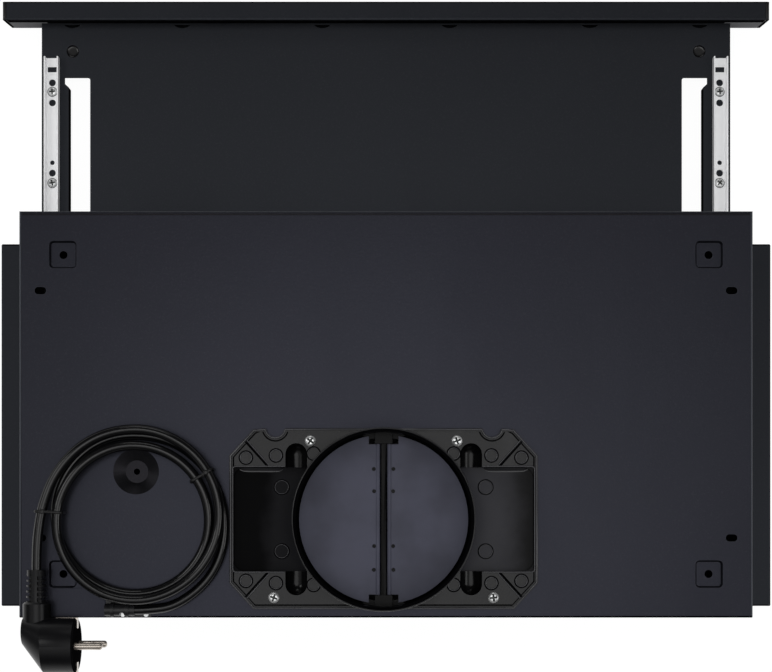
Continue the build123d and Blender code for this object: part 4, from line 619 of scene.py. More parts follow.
@dataclass(frozen=True)
class PlatedSteel(Finish):
    """Bright plated or bare metal with drawn lines and cloudy dulling."""

    dull: Colour = (0.35, 0.35, 0.36, 1.0)
    spacing: float = 0.0003
    along_y: float = 1.0
    depth: float = 0.000012
    metallic: float = 0.55
    cloud_span: Span = (0.4, 0.75)
    cloud_result: Span = (0.0, 0.55)
    streak_span: Span = (0.35, 0.7)
    streak_result: Span = (0.0, 0.3)
    cloud_roughness: float = 0.25

    def build(self, effects: SurfaceEffects) -> Material:
        """Streak the metal along its drawing lines and cloud it where it has dulled.

        Args:
            effects: The shared groups.

        Returns:
            The material.
        """
        material, nodes, shader = self.begin(Metallic=self.metallic)
        lines = effects.place(nodes, Effect.DRAWN_LINES, Spacing=self.spacing, Along_Y=self.along_y)
        grain = effects.place(nodes, Effect.GRAIN, Size=0.002, Mottle=0.012)
        cloud = nodes.spread(grain.outputs["Mottle"], self.cloud_span, self.cloud_result)
        streak = nodes.spread(lines.outputs["Streak"], self.streak_span, self.streak_result)
        dulled = nodes.maths("ADD", cloud, streak)
        nodes.join(nodes.blend(dulled, self.colour, self.dull), shader.inputs["Base Color"])
        self.gloss(nodes, shader, cloud, self.cloud_roughness)
        nodes.join(nodes.bump(lines.outputs["Height"], self.depth), shader.inputs["Normal"])
        return material


@dataclass(frozen=True)
class CordCover(Finish):
    """Smooth black cord and plug plastic, with faint ripples and rubbed patches."""

    ripple: float = 0.0016
    specular: float = 0.5
    ripple_depth: float = 0.00004
    mark_roughness: float = 0.16
    dust_colour: Colour = (0.12, 0.12, 0.12, 1.0)

    def build(self, effects: SurfaceEffects) -> Material:
        """Give the plastic a soft ripple, uneven gloss and a little dust on top.

        Args:
            effects: The shared groups.

        Returns:
            The material.
        """
        material, nodes, shader = self.begin(Specular_IOR_Level=self.specular)
        grain = effects.place(nodes, Effect.GRAIN, Size=self.ripple, Mottle=0.02)
        marks = effects.place(nodes, Effect.HANDLING, Size=0.02, Amount=0.8)
        dust = effects.place(nodes, Effect.DUST, Amount=0.02, Speck=0.0007)
        dusty = nodes.blend(dust.outputs["Mask"], self.colour, self.dust_colour)
        nodes.join(dusty, shader.inputs["Base Color"])
        self.gloss(nodes, shader, marks.outputs["Mask"], self.mark_roughness)
        nodes.join(nodes.bump(grain.outputs["Height"], self.ripple_depth), shader.inputs["Normal"])
        return material


@dataclass(frozen=True)
class FrostedLens(Finish):
    """A pressed lens with fine ribs and a frosted back."""

    transmission: float = 0.7
    index: float = 1.49
    rib_depth: float = 0.0002
    frost_share: float = 0.5

    def build(self, effects: SurfaceEffects) -> Material:
        """Let light through a rough, ribbed surface.

        Args:
            effects: The shared groups.

        Returns:
            The material.
        """
        material, nodes, shader = self.begin(Transmission_Weight=self.transmission, IOR=self.index)
        lines = effects.place(nodes, Effect.DRAWN_LINES, Spacing=0.0012, Along_Y=1.0)
        grain = effects.place(nodes, Effect.GRAIN, Size=0.0012, Mottle=0.02)
        frost = nodes.maths("MULTIPLY", grain.outputs["Height"], self.frost_share)
        height = nodes.maths("ADD", lines.outputs["Height"], frost)
        nodes.join(nodes.bump(height, self.rib_depth), shader.inputs["Normal"])
        return material


class FinishRack:
    """Every finish on the hood, made once."""

    COVER_SHEEN: Colour = (0.76, 0.78, 1.0, 1.0)
    FRAME_SHEEN: Colour = (0.79, 0.85, 1.0, 1.0)

    def __init__(self) -> None:
        """Build each material."""
        effects = SurfaceEffects()
        groups = (self.paints(), self.body_plastics(), self.outlet_plastics(), self.metals(), self.covers())
        self.materials = {finish.name: finish.build(effects) for group in groups for finish in group}

    def __getitem__(self, name: str) -> Material:
        """Give a material by its name."""
        return self.materials[name]

    @classmethod
    def paints(cls) -> tuple[Finish, ...]:
        """The paints on the folded sheets and on their edges.

        Returns:
            The finishes.
        """
        frame_sheen = cls.FRAME_SHEEN
        return (
            SheetPaint(
                "cover paint", screen_colour(11, 12, 15), 0.33,
                tint=screen_colour(14, 14, 19), specular=0.33, sheen=cls.COVER_SHEEN,
            ),
            SheetPaint(
                "tray paint", screen_colour(14, 15, 17), 0.38,
                tint=screen_colour(16, 17, 19), peel=0.0009, sheen=frame_sheen,
            ),
            SheetPaint(
                "wing paint", screen_colour(9, 10, 11), 0.38,
                tint=screen_colour(11, 12, 14), specular=0.3, sheen=frame_sheen,
            ),
            SheetPaint(
                "fascia paint", screen_colour(13, 14, 17), 0.34,
                tint=screen_colour(15, 16, 19), peel=0.0008, edge=0.5, sheen=frame_sheen,
            ),
            # Pale: painted highlight on the cover's rolled side edges.
            SheetPaint(
                "hem highlight paint", screen_colour(44, 46, 50), 0.3,
                tint=screen_colour(47, 49, 54), specular=0.36, sheen=frame_sheen,
            ),
            # Lighter: painted highlight on the cover's front hem and the fascia's rear roll.
            SheetPaint(
                "roll highlight paint", screen_colour(20, 21, 24), 0.3,
                tint=screen_colour(22, 23, 26), specular=0.4, sheen=frame_sheen,
            ),
            # Darker: painted shade in the cover's pressed cone and along its front crease.
            SheetPaint(
                "pressed shade paint", screen_colour(10, 11, 12), 0.36, tint=screen_colour(12, 12, 14), specular=0.2
            ),
        )

    @staticmethod
    def outlet_plastics() -> tuple[Finish, ...]:
        """The outlet plate's plastics: its grained top, and colours in it that paint light and shade: shade
        in the channels, the grooves and the collar, painted reflection and shade in the pockets, and
        highlights on the beads, the fillets and the lip.

        Returns:
            The finishes.
        """
        polish = {"grain": 0.0009, "depth": 0.00001}
        return (
            MouldedPlastic(
                "plate plastic", screen_colour(18, 18, 20), 0.28,
                coat=0.02, specular=0.22, grain=0.0012, depth=0.00008,
            ),
            # The finger channels are painted darker than the plate: painted shade in the slots.
            MouldedPlastic("channel shade gloss", screen_colour(8, 8, 9), 0.2, specular=0.2, **polish),
            # The pockets' colours are painted light: the +X pocket is painted dark, paler by the collar, and
            # the -X pocket carries a painted reflection that fades outward.
            ReflectionPaintedPlastic(
                "left pocket gloss", screen_colour(29, 29, 31), 0.2,
                far=screen_colour(8, 8, 9), painted_light_span=(0.073, 0.087), specular=0.012,
            ),
            ReflectionPaintedPlastic(
                "right pocket gloss", screen_colour(56, 56, 60), 0.2,
                far=screen_colour(9, 9, 10), painted_light_span=(0.074, 0.104), specular=0.05,
            ),
            # Lighter than the plate: painted highlight on the raised lines.
            MouldedPlastic("bead highlight gloss", screen_colour(44, 44, 48), 0.16, specular=0.6, **polish),
            # Lighter than the plate: painted highlight on the pockets' front fillets.
            MouldedPlastic("fillet highlight gloss", screen_colour(40, 40, 43), 0.2, specular=0.45, **polish),
            # Black lines beside the raised ones: painted shadow.
            MouldedPlastic("groove shadow black", screen_colour(5, 5, 6), 0.5, specular=0.0),
            # Near black: painted shade on the collar's inside and its rim's top.
            MouldedPlastic(
                "collar shade black", screen_colour(5, 5, 6), 0.3, specular=0.0, worn_and_lit=screen_colour(14, 14, 15)
            ),
            # Near black: on the blocks at the dampers' spine it is painted shade for the gap between the
            # flaps; the damper pips share it.
            MouldedPlastic("dark plastic and gap shade", screen_colour(8, 8, 9), 0.45, specular=0.12),
            # Lighter than the collar: painted highlight on the collar's lip.
            MouldedPlastic("lip highlight plastic", screen_colour(24, 24, 26), 0.3, specular=0.3),
            MouldedPlastic("collar plastic", screen_colour(15, 15, 17), 0.36, specular=0.25),
            MouldedPlastic("damper plastic", screen_colour(67, 68, 82), 0.62, grain=0.0004, specular=0.3),
        )

    @staticmethod
    def body_plastics() -> tuple[Finish, ...]:
        """The plastics of the body, the visor and the blower, with the dark and pale colours that paint shade
        and light on their folds, edges and backs.

        Returns:
            The finishes.
        """
        return (
            # Black lines along folds and edges: painted shade.
            MouldedPlastic(
                "fold shade black", screen_colour(3, 3, 4), 0.7, specular=0.0, worn_and_lit=screen_colour(3, 3, 4)
            ),
            # Near black and matt: painted shade on the tray's upright folds, the end caps' backs and the
            # plug's pin face.
            MouldedPlastic("shade matt", screen_colour(12, 12, 13), 0.8, specular=0.0),
            ShadedBackLitEnds("fascia back shade and light", screen_colour(12, 12, 13), 0.8, pale=screen_colour(120, 120, 122)),
            # Grey foam that also stands in for the shade seen through the notches in the tray's bend.
            MouldedPlastic("foam shade grey", screen_colour(27, 28, 30), 0.9, specular=0.0),
            # Darker than the tray: painted shade in the pressed cups.
            MouldedPlastic(
                "cup shade gloss", screen_colour(6, 6, 7), 0.22, grain=0.0008, depth=0.00001, specular=0.45
            ),
            MouldedPlastic("scroll plastic", screen_colour(50, 50, 52), 0.5),
            MouldedPlastic("wheel plastic", screen_colour(40, 40, 42), 0.5),
            MouldedPlastic("cap plastic", screen_colour(15, 15, 17), 0.36, specular=0.38),
            MouldedPlastic("latch plastic", screen_colour(48, 48, 50), 0.45),
            MouldedPlastic("clamp plastic", screen_colour(24, 24, 26), 0.36, specular=0.35),
            MouldedPlastic("tie plastic", screen_colour(7, 7, 8), 0.36, grain=0.0003, specular=0.3),
            MouldedPlastic("capacitor can", screen_colour(205, 206, 200), 0.32, worn_and_lit=(0.8, 0.8, 0.78, 1.0)),
            MouldedPlastic("lamp frame", screen_colour(206, 206, 204), 0.3, worn_and_lit=(0.75, 0.75, 0.74, 1.0)),
        )

    @staticmethod
    def metals() -> tuple[Finish, ...]:
        """The plated and bare metals.

        Returns:
            The finishes.
        """
        return (
            PlatedSteel(
                "zinc plate", screen_colour(252, 252, 253), 0.34,
                dull=screen_colour(244, 245, 246), metallic=0.25,
            ),
            PlatedSteel(
                "screw plate", screen_colour(226, 227, 227), 0.24,
                dull=screen_colour(170, 172, 172), spacing=0.0006, metallic=0.75,
            ),
            PlatedSteel(
                "recess shade", screen_colour(70, 74, 72), 0.5,
                dull=screen_colour(52, 55, 54), metallic=0.3,
            ),
            PlatedSteel("motor steel", screen_colour(178, 180, 184), 0.38, dull=screen_colour(140, 142, 146)),
            PlatedSteel(
                "filter aluminium", screen_colour(212, 214, 216), 0.36,
                dull=screen_colour(172, 174, 178), along_y=0.0,
            ),
            PlatedSteel(
                "button steel", screen_colour(205, 206, 208), 0.28,
                dull=screen_colour(180, 181, 184), along_y=0.0, spacing=0.0002,
            ),
            PlatedSteel(
                "pin plate", screen_colour(198, 190, 180), 0.16,
                dull=screen_colour(156, 145, 135), spacing=0.0008, metallic=0.85,
            ),
            PlatedSteel(
                "mesh aluminium", screen_colour(104, 106, 109), 0.42,
                dull=screen_colour(66, 68, 71), along_y=0.0, metallic=0.7,
            ),
            PlatedSteel("bearing bronze", screen_colour(176, 138, 84), 0.42, dull=screen_colour(128, 96, 58)),
        )

    @staticmethod
    def covers() -> tuple[Finish, ...]:
        """The cord's and the plug's covers, and the lamps' lenses.

        Returns:
            The finishes.
        """
        return (
            CordCover("cord cover", screen_colour(6, 6, 7), 0.13, specular=0.35),
            CordCover("plug cover", screen_colour(10, 10, 12), 0.3, ripple=0.0007, specular=0.18),
            FrostedLens("lamp lens", screen_colour(238, 240, 240), 0.35),
        )


def grid_faces(rows: int, columns: int, round_rows: bool, round_columns: bool) -> np.ndarray:
    """Number the four corners of every cell of a grid of points.

    Cell (i, j) joins points (i, j), (i, j + 1), (i + 1, j + 1) and (i + 1, j), and a round
    direction joins its last line to its first.

    Args:
        rows: Points along the first direction.
        columns: Points along the second.
        round_rows: Whether the first direction closes on itself.
        round_columns: Whether the second does.

    Returns:
        An array of four point numbers for each cell.
    """
    first = np.arange(rows if round_rows else rows - 1)
    second = np.arange(columns if round_columns else columns - 1)
    i, j = np.meshgrid(first, second, indexing="ij")
    i_next, j_next = (i + 1) % rows, (j + 1) % columns
    corners = (i * columns + j, i * columns + j_next, i_next * columns + j_next, i_next * columns + j)
    return np.stack([corner.ravel() for corner in corners], axis=1)


class Workshop:
    """Makes meshes into pieces that ride on the hood's bodies."""

    JOINED = 1e-6
    SHRUNK = 1e-7
    JOINED_CAD = 2e-6
    CURVED_FOLD = 32.0
    NO_FOLD = 0.08
    LEAST_FLAT = 3
    ROUNDED_FOLD = 40.0
    ROUNDED_LENGTH = 6.0
    ROUNDING_STEPS = 2

    def __init__(self, rack: FinishRack) -> None:
        """Keep the finishes."""
        self.rack = rack

    def piece(
        self, name: str, mesh: bpy.types.Mesh, body: str, finish: str, slot: str, *stands_for: str
    ) -> Item:
        """Put a mesh into the scene as a piece of the hood.

        Args:
            name: The piece's name.
            mesh: Its mesh, in the hood's own place.
            body: The body it rides on.
            finish: The name of its material.
            slot: The record's material slot it belongs to. It is not used.
            stands_for: CAD nodes that it replaces.

        Returns:
            The new object.
        """
        item = bpy.data.objects.new(name, mesh)
        bpy.context.scene.collection.objects.link(item)
        item.data.materials.clear()
        item.data.materials.append(self.rack[finish])
        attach(item, body)
        if stands_for:
            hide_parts(*stands_for)
        LOG.info("%s rides on %s with %s", name, body, finish)
        return item

    def surface(
        self, name: str, blocks: Sequence[Block], body: str, finish: str, slot: str, crease: float = 35.0
    ) -> Item:
        """Join blocks of points and faces into a new piece."""
        return self.piece(name, self.merged(name, blocks, crease), body, finish, slot)

    @classmethod
    def merged(cls, name: str, blocks: Sequence[Block], crease: float = 35.0) -> bpy.types.Mesh:
        """Join blocks of points and faces into one clean mesh.

        Points nearer than a thousandth of a millimetre become one, faces that shrink to
        nothing go, normals turn outwards, and edges that fold past the crease stay sharp.

        Args:
            name: The mesh's name.
            blocks: Pairs of points and faces.
            crease: The greatest fold that is shaded smooth, in degrees.

        Returns:
            The mesh.
        """
        points = np.concatenate([block[0].reshape(-1, 3) for block in blocks])
        shifts = np.cumsum([0] + [len(block[0].reshape(-1, 3)) for block in blocks[:-1]])
        faces = [row for block, shift in zip(blocks, shifts) for row in (block[1] + shift).tolist()]
        mesh = bpy.data.meshes.new(name)
        mesh.from_pydata(points.tolist(), [], faces)
        shape = bmesh.new()
        shape.from_mesh(mesh)
        bmesh.ops.remove_doubles(shape, verts=shape.verts, dist=cls.JOINED)
        bmesh.ops.dissolve_degenerate(shape, edges=shape.edges, dist=cls.SHRUNK)
        bmesh.ops.recalc_face_normals(shape, faces=shape.faces)
        for part in shape.faces:
            part.smooth = True
        for edge in shape.edges:
            edge.smooth = len(edge.link_faces) != 2 or edge.calc_face_angle(0.0) < math.radians(crease)
        shape.to_mesh(mesh)
        shape.free()
        return mesh

    def softened(
        self,
        node: str,
        finish: str,
        slot: str,
        width: float = 0.3,
        body: str = "hood",
        accents: Sequence[tuple[str, FaceTest]] = (),
    ) -> Item:
        """Show a CAD node as a copy with slightly rounded edges.

        Args:
            node: The CAD node.
            finish: The name of its material.
            slot: The record's material slot. It is not used.
            width: How wide the rounding is, in millimetres.
            body: The body it rides on.
            accents: Further materials, each with the test that picks its faces by middle and normal.

        Returns:
            The piece that replaces the node.
        """
        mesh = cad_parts[node].data.copy()
        shape = bmesh.new()
        shape.from_mesh(mesh)
        bmesh.ops.remove_doubles(shape, verts=shape.verts, dist=self.JOINED_CAD)
        self.shade(shape)
        self.weigh(shape)
        marked = []
        for part in shape.faces:
            middle = part.calc_center_median() / MM
            held = [place for place, (_, test) in enumerate(accents, 1) if test(middle, part.normal)]
            marked.append(held[0] if held else 0)
        clean = bpy.data.meshes.new(node + "_soft")
        shape.to_mesh(clean)
        shape.free()
        bpy.data.meshes.remove(mesh)
        item = self.piece(node + "_soft", clean, body, finish, slot, node)
        for name, _ in accents:
            item.data.materials.append(self.rack[name])
        item.data.polygons.foreach_set("material_index", marked)
        bevel = item.modifiers.new("edge", "BEVEL")
        bevel.width = width * MM
        bevel.segments = self.ROUNDING_STEPS
        bevel.limit_method = "WEIGHT"
        bevel.use_clamp_overlap = True
        bevel.harden_normals = True
        bevel.miter_outer = "MITER_ARC"
        return item

    @classmethod
    def weigh(cls, shape: bmesh.types.BMesh) -> None:
        """Mark the sharp folds for rounding, apart from very short ones.

        Args:
            shape: The mesh whose edges get a bevel weight.
        """
        layer = shape.edges.layers.float.new("bevel_weight_edge")
        for edge in shape.edges:
            folded = len(edge.link_faces) == 2 and edge.calc_face_angle(0.0) > math.radians(cls.ROUNDED_FOLD)
            edge[layer] = float(folded and edge.calc_length() > cls.ROUNDED_LENGTH * MM)

    @classmethod
    def shade(cls, shape: bmesh.types.BMesh) -> None:
        """Shade flat regions flat and curved ones smooth.

        Triangles that lie in one plane are gathered into regions by joining the two sides of
        every edge with no fold. A region of three triangles or more is a flat face of the CAD
        model, and anything smaller is a facet of a curved one.

        Args:
            shape: The mesh to shade.
        """
        shape.faces.ensure_lookup_table()
        leader = list(range(len(shape.faces)))

        def find(index: int) -> int:
            """Find the region that a face is in, and shorten the way to it.

            Args:
                index: The face's number.

            Returns:
                The number of the region's leading face.
            """
            while leader[index] != index:
                leader[index] = leader[leader[index]]
                index = leader[index]
            return index

        for edge in shape.edges:
            fold = edge.calc_face_angle(math.pi) if len(edge.link_faces) == 2 else math.pi
            edge.smooth = fold < math.radians(cls.CURVED_FOLD)
            if fold < math.radians(cls.NO_FOLD):
                leader[find(edge.link_faces[0].index)] = find(edge.link_faces[1].index)
        regions = [find(index) for index in range(len(leader))]
        sizes = np.bincount(regions, minlength=len(leader))
        for part in shape.faces:
            part.smooth = bool(sizes[regions[part.index]] < cls.LEAST_FLAT)

    def dress(self, finish: str, *nodes: str) -> None:
        """Give CAD nodes that stay as they are one of the hood's materials.

        Args:
            finish: The name of the material.
            nodes: The CAD nodes.
        """
        for node in nodes:
            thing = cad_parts[node]
            for place in thing.material_slots:
                place.material = self.rack[finish]
            LOG.info("%s keeps its shape, with %s", node, finish)


def square_directions(axis: Sequence[float], level: Point, other: Point) -> tuple[np.ndarray, ...]:
    """Three directions square to each other, the first along an axis.

    Args:
        axis: The first direction.
        level: The direction that the second is square to.
        other: What is used instead where the axis lies along it.

    Returns:
        The three directions.
    """
    up = np.array(axis, float) / np.linalg.norm(axis)
    aside = np.cross(up, level if abs(up @ level) < 0.9 else other)
    aside /= np.linalg.norm(aside)
    return up, aside, np.cross(up, aside)


def turned_surface(profile: np.ndarray, centre: Sequence[float], axis: Sequence[float], steps: int) -> Block:
    """Turn a profile about an axis.

    Each profile point (radius, height) becomes centre + height along the axis + radius
    times the direction at each of the angles round it.

    Args:
        profile: Pairs of radius and height, in metres.
        centre: Where height 0 lies.
        axis: The way that height grows.
        steps: How many angles.

    Returns:
        The points as rows by angles, and the faces.
    """
    up, aside, across = square_directions(axis, (1.0, 0.0, 0.0), (0.0, 1.0, 0.0))
    angle = np.linspace(0, 2 * math.pi, steps, endpoint=False)
    around = np.cos(angle)[:, None] * aside + np.sin(angle)[:, None] * across
    points = np.array(centre) + profile[:, 1, None, None] * up + profile[:, 0, None, None] * around
    return points, grid_faces(len(profile), steps, False, True)


def bead(path: np.ndarray, radius: float, closed: bool, sides: int = 8) -> Block:
    """A round bead along a level path.

    Point (i, j) is path i + radius (cos v, sin v) on the level sideways direction and up, with
    v = 2 pi j / sides. The ends of an open path shrink to a point.

    Args:
        path: The path's points, in metres.
        radius: The bead's radius, in metres.
        closed: Whether the path closes on itself.
        sides: Points round the bead.

    Returns:
        The points and the faces.
    """
    if closed:
        ahead = np.roll(path, -1, axis=0) - np.roll(path, 1, axis=0)
        reach = np.full(len(path), radius)
    else:
        ahead = np.gradient(path, axis=0)
        path, ahead = path[[0, *range(len(path)), -1]], ahead[[0, *range(len(ahead)), -1]]
        reach = np.full(len(path), radius)
        reach[[0, -1]] = 0.0
    side = np.cross(UP, ahead)
    side /= np.linalg.norm(side, axis=1)[:, None]
    v = np.linspace(0, 2 * math.pi, sides, endpoint=False)
    around = np.cos(v)[None, :, None] * side[:, None] + np.sin(v)[None, :, None] * np.array(UP)
    return path[:, None] + reach[:, None, None] * around, grid_faces(len(path), sides, closed, True)


def line(radius: float, *points: Point) -> Block:
    """A round bead through points given in millimetres, with closed ends."""
    return bead(np.array(points, float) * MM, radius * MM, False, 12)


def cross_line(radius: float, reach: float, y: float, z: float) -> list[Block]:
    """A thin round line along X, from -reach to reach."""
    return [line(radius, (-reach, y, z), (reach, y, z))]


@dataclass
class CrossHeadScrews:
    """Pan heads with a cross recess, one mesh for a set of screws."""

    radius: float
    height: float
    turns: Sequence[float] = (0.0,)
    axis: Point = UP
    recess: float = 0.92
    arm_half: float = 0.16
    arm_wall: float = 0.05
    arm_end: float = 0.66
    arm_ramp: float = 0.14
    shade_half: float = 0.15
    shade_end: float = 0.62
    shade_height: float = 0.02
    steps: int = 72

    def directions(self) -> tuple[np.ndarray, ...]:
        """The way a head points, and two level directions square to it."""
        return square_directions(self.axis, (0.0, 1.0, 0.0), (1.0, 0.0, 0.0))

    def shade_recesses(
        self, item: Item, seats: Sequence[Sequence[float]], shade: Material
    ) -> None:
        """Give the cross recesses their own darker material.

        A face is in a recess where its middle lies within the shaded half width of one arm's
        line and the shaded reach of the other's, measured from the nearest head's middle.

        Args:
            item: The heads.
            seats: The middle of each head's seat.
            shade: The recesses' material.
        """
        up, aside, across = self.directions()
        middles = np.empty(len(item.data.polygons) * 3)
        item.data.polygons.foreach_get("center", middles)
        away = middles.reshape(-1, 1, 3) - np.array(seats, float)[None]
        nearest = (away**2).sum(axis=2).argmin(axis=1)
        own = away[np.arange(len(nearest)), nearest]
        turns = np.radians(np.array(self.turns))
        turn = turns[nearest % len(turns)]
        u, v = own @ aside / self.radius, own @ across / self.radius
        x, y = u * np.cos(turn) + v * np.sin(turn), v * np.cos(turn) - u * np.sin(turn)
        near, far = np.minimum(np.abs(x), np.abs(y)), np.maximum(np.abs(x), np.abs(y))
        sunk = (near < self.shade_half) & (far < self.shade_end) & (own @ up > self.shade_height * MM)
        item.data.materials.append(shade)
        item.data.polygons.foreach_set("material_index", sunk.astype(int))

    def head(self, seat: Sequence[float], turn: float) -> Block:
        """One head as a height over a round grid.

        At radius r and angle a the height is h (1 - (r / R) ** 4) ** 0.5, less a cross whose
        two arms are narrow in one direction and ramp up to nothing at their end in the other.

        Args:
            seat: The middle of the head's seat.
            turn: How far its cross is turned, in degrees.

        Returns:
            The points and the faces.
        """
        share = np.concatenate([np.linspace(0, 0.7, 22), np.linspace(0.72, 1.0, 12)])
        angle = np.linspace(0, 2 * math.pi, self.steps, endpoint=False)
        r, a = np.meshgrid(share, angle, indexing="ij")
        dome = self.height * np.sqrt(np.clip(1 - r**4, 0, 1))
        x = r * np.cos(a - math.radians(turn))
        y = r * np.sin(a - math.radians(turn))

        def arm(long: np.ndarray, thin: np.ndarray) -> np.ndarray:
            """The depth share of one arm of the cross."""
            side = np.clip((self.arm_half - np.abs(thin)) / self.arm_wall, 0, 1)
            return side * np.clip((self.arm_end - np.abs(long)) / self.arm_ramp, 0, 1)

        cut = np.maximum(arm(x, y), arm(y, x))
        height = dome - self.recess * self.height * cut
        up, aside, across = self.directions()
        points = (
            np.array(seat)
            + height[..., None] * up
            + (self.radius * r * np.cos(a))[..., None] * aside
            + (self.radius * r * np.sin(a))[..., None] * across
        )
        return points, grid_faces(len(share), len(angle), False, True)

    def build(
        self, shop: Workshop, name: str, seats: Sequence[Sequence[float]], body: str, stands_for: str
    ) -> None:
        """Make all the heads as one piece, with a flat base under each.

        Args:
            shop: The workshop.
            name: The piece's name.
            seats: The middle of each head's seat.
            body: The body it rides on.
            stands_for: The CAD node that it replaces.
        """
        blocks = [self.head(seat, self.turns[index % len(self.turns)]) for index, seat in enumerate(seats)]
        base = np.array([[0.0, 0.0], [self.radius, 0.0]])
        blocks += [turned_surface(base, seat, self.axis, self.steps) for seat in seats]
        mesh = shop.merged(name, blocks, 25.0)
        heads = shop.piece(name, mesh, body, "screw plate", "screw_steel", stands_for)
        self.shade_recesses(heads, seats, shop.rack["recess shade"])


class LampShape(Enum):
    """The outline of a soft lamp."""

    RECTANGLE = "RECTANGLE"
    ELLIPSE = "ELLIPSE"


@dataclass(frozen=True)
class SoftLamp:
    """One area lamp: its name, place, aim, size in metres and power in watts."""

    name: str
    place: Point
    aim: Point
    size: Span
    power: float
    shape: LampShape = LampShape.RECTANGLE

    def build(self) -> None:
        """Hang the lamp in the scene."""
        data = bpy.data.lights.new(self.name, "AREA")
        data.shape = self.shape.value
        data.size, data.size_y = self.size
        data.energy = self.power
        item = bpy.data.objects.new(self.name, data)
        item.location = self.place
        item.rotation_euler = (Vector(self.aim) - Vector(self.place)).to_track_quat("-Z", "Y").to_euler()
        bpy.context.scene.collection.objects.link(item)


@dataclass
class Studio:
    """The camera of the photograph, the lamps, the white world and the floor, in metres."""

    height: float = 1.297
    behind: float = 0.1638
    sensor: float = 36.0
    lens: float = 75.6
    lift: float = 0.2297
    nearest: float = 0.01
    floor_drop: float = 0.0004
    floor_size: float = 6.0
    floor_grey: float = 0.86
    floor_glow: float = 1.05
    floor_glow_share: float = 0.92
    sky_light: float = 0.62
    horizon: tuple[Span, Span] = ((0.02, 0.2), (0.7, 0.07))
    zenith: tuple[Span, Span] = ((0.79, 1.0), (0.07, 0.75))
    lean_up: float = 0.985
    lean_back: float = 0.17
    widening: float = 0.35
    lamps: tuple[SoftLamp, ...] = (
        SoftLamp("overhead", (0.02, 0.17, 1.9), (0.02, 0.17, 0.1), (1.14, 1.0), 4.1, LampShape.ELLIPSE),
        SoftLamp("left side", (1.5, -0.35, 1.5), (0.1, 0.05, 0.1), (0.7, 0.7), 4.8),
        SoftLamp("right side", (-1.5, 0.3, 1.4), (-0.1, 0.05, 0.1), (0.7, 0.7), 4.2),
        SoftLamp("front", (0.2, -1.7, 1.2), (0.0, 0.0, 0.1), (1.0, 0.6), 3.0),
    )

    def camera(self) -> None:
        """Look straight down from above the rear of the hood, with the wall side below."""
        data = bpy.data.cameras.new("photo camera")
        data.sensor_width = self.sensor
        data.lens = self.lens
        data.shift_y = self.lift
        data.clip_start = self.nearest
        item = bpy.data.objects.new("photo camera", data)
        item.location = (0.0, self.behind, self.height)
        item.rotation_euler = (0.0, 0.0, math.pi)
        bpy.context.scene.collection.objects.link(item)
        bpy.context.scene.camera = item

    def reflected_sky(self, nodes: Nodes) -> Socket:
        """How bright the sky is in reflections: a band at the horizon and one overhead.

        The one overhead leans to the rear and is wide along X: it follows the sum of the
        upward lean times z, the backward lean times y, and the widening times x squared.

        Args:
            nodes: The world's node helper.

        Returns:
            The brightness.
        """
        way = nodes.parts(nodes.add("TexCoord").outputs["Generated"])
        up = nodes.maths("MULTIPLY", way["Z"], self.lean_up)
        leaning = nodes.maths("ADD", up, nodes.maths("MULTIPLY", way["Y"], self.lean_back))
        wide = nodes.maths("MULTIPLY", nodes.maths("POWER", way["X"], 2.0), self.widening)
        overhead = nodes.spread(nodes.maths("ADD", leaning, wide), *self.zenith)
        return nodes.maths("MAXIMUM", nodes.spread(way["Z"], *self.horizon), overhead)

    def world(self) -> None:
        """White where the camera sees it, soft grey as light, and banded in reflections."""
        world = bpy.data.worlds.new("studio")
        bpy.context.scene.world = world
        world.use_nodes = True
        world.node_tree.nodes.clear()
        nodes = Nodes(world.node_tree)
        path = nodes.add("LightPath")
        from_camera = path.outputs["Is Camera Ray"]
        elsewhere = nodes.maths("SUBTRACT", 1.0, from_camera)
        banded = nodes.maths("MULTIPLY", elsewhere, self.reflected_sky(nodes))
        light, seen = nodes.add("Background"), nodes.add("Background")
        for shader in (light, seen):
            shader.inputs["Color"].default_value = WHITE
        light.inputs["Strength"].default_value = self.sky_light
        nodes.join(nodes.maths("ADD", from_camera, banded), seen.inputs["Strength"])
        mix = nodes.mix_shaders(nodes.sharp_rays(path), light, seen)
        nodes.join(mix.outputs[0], nodes.add("OutputWorld").inputs["Surface"])

    def floor_paint(self) -> Material:
        """White for the camera and in gloss, matt for light, and clear from underneath.

        Returns:
            The material.
        """
        material = bpy.data.materials.new("floor white")
        material.use_nodes = True
        material.node_tree.nodes.clear()
        nodes = Nodes(material.node_tree)
        matt = nodes.add("BsdfDiffuse")
        matt.inputs["Color"].default_value = (self.floor_grey, self.floor_grey, self.floor_grey, 1.0)
        glow = nodes.add("Emission")
        glow.inputs["Strength"].default_value = self.floor_glow
        seen = nodes.maths("MULTIPLY", nodes.sharp_rays(nodes.add("LightPath")), self.floor_glow_share)
        top = nodes.mix_shaders(seen, matt, glow)
        under = nodes.add("NewGeometry").outputs["Backfacing"]
        both = nodes.mix_shaders(under, top, nodes.add("BsdfTransparent"))
        nodes.join(both.outputs[0], nodes.add("OutputMaterial").inputs["Surface"])
        return material

    def floor(self) -> None:
        """A white floor that shows only from above and keeps a light shadow."""
        half = self.floor_size / 2
        points = np.array([[-half, -half], [half, -half], [half, half], [-half, half]])
        corners = np.column_stack([points, np.full(4, -self.floor_drop)])
        mesh = bpy.data.meshes.new("floor")
        mesh.from_pydata(corners.tolist(), [], [(0, 1, 2, 3)])
        item = bpy.data.objects.new("floor", mesh)
        bpy.context.scene.collection.objects.link(item)
        mesh.materials.append(self.floor_paint())

    def build(self) -> None:
        """Set up the whole studio."""
        bpy.context.scene.view_settings.view_transform = "Standard"
        self.camera()
        self.world()
        self.floor()
        for lamp in self.lamps:
            lamp.build()
        LOG.info("studio is set")


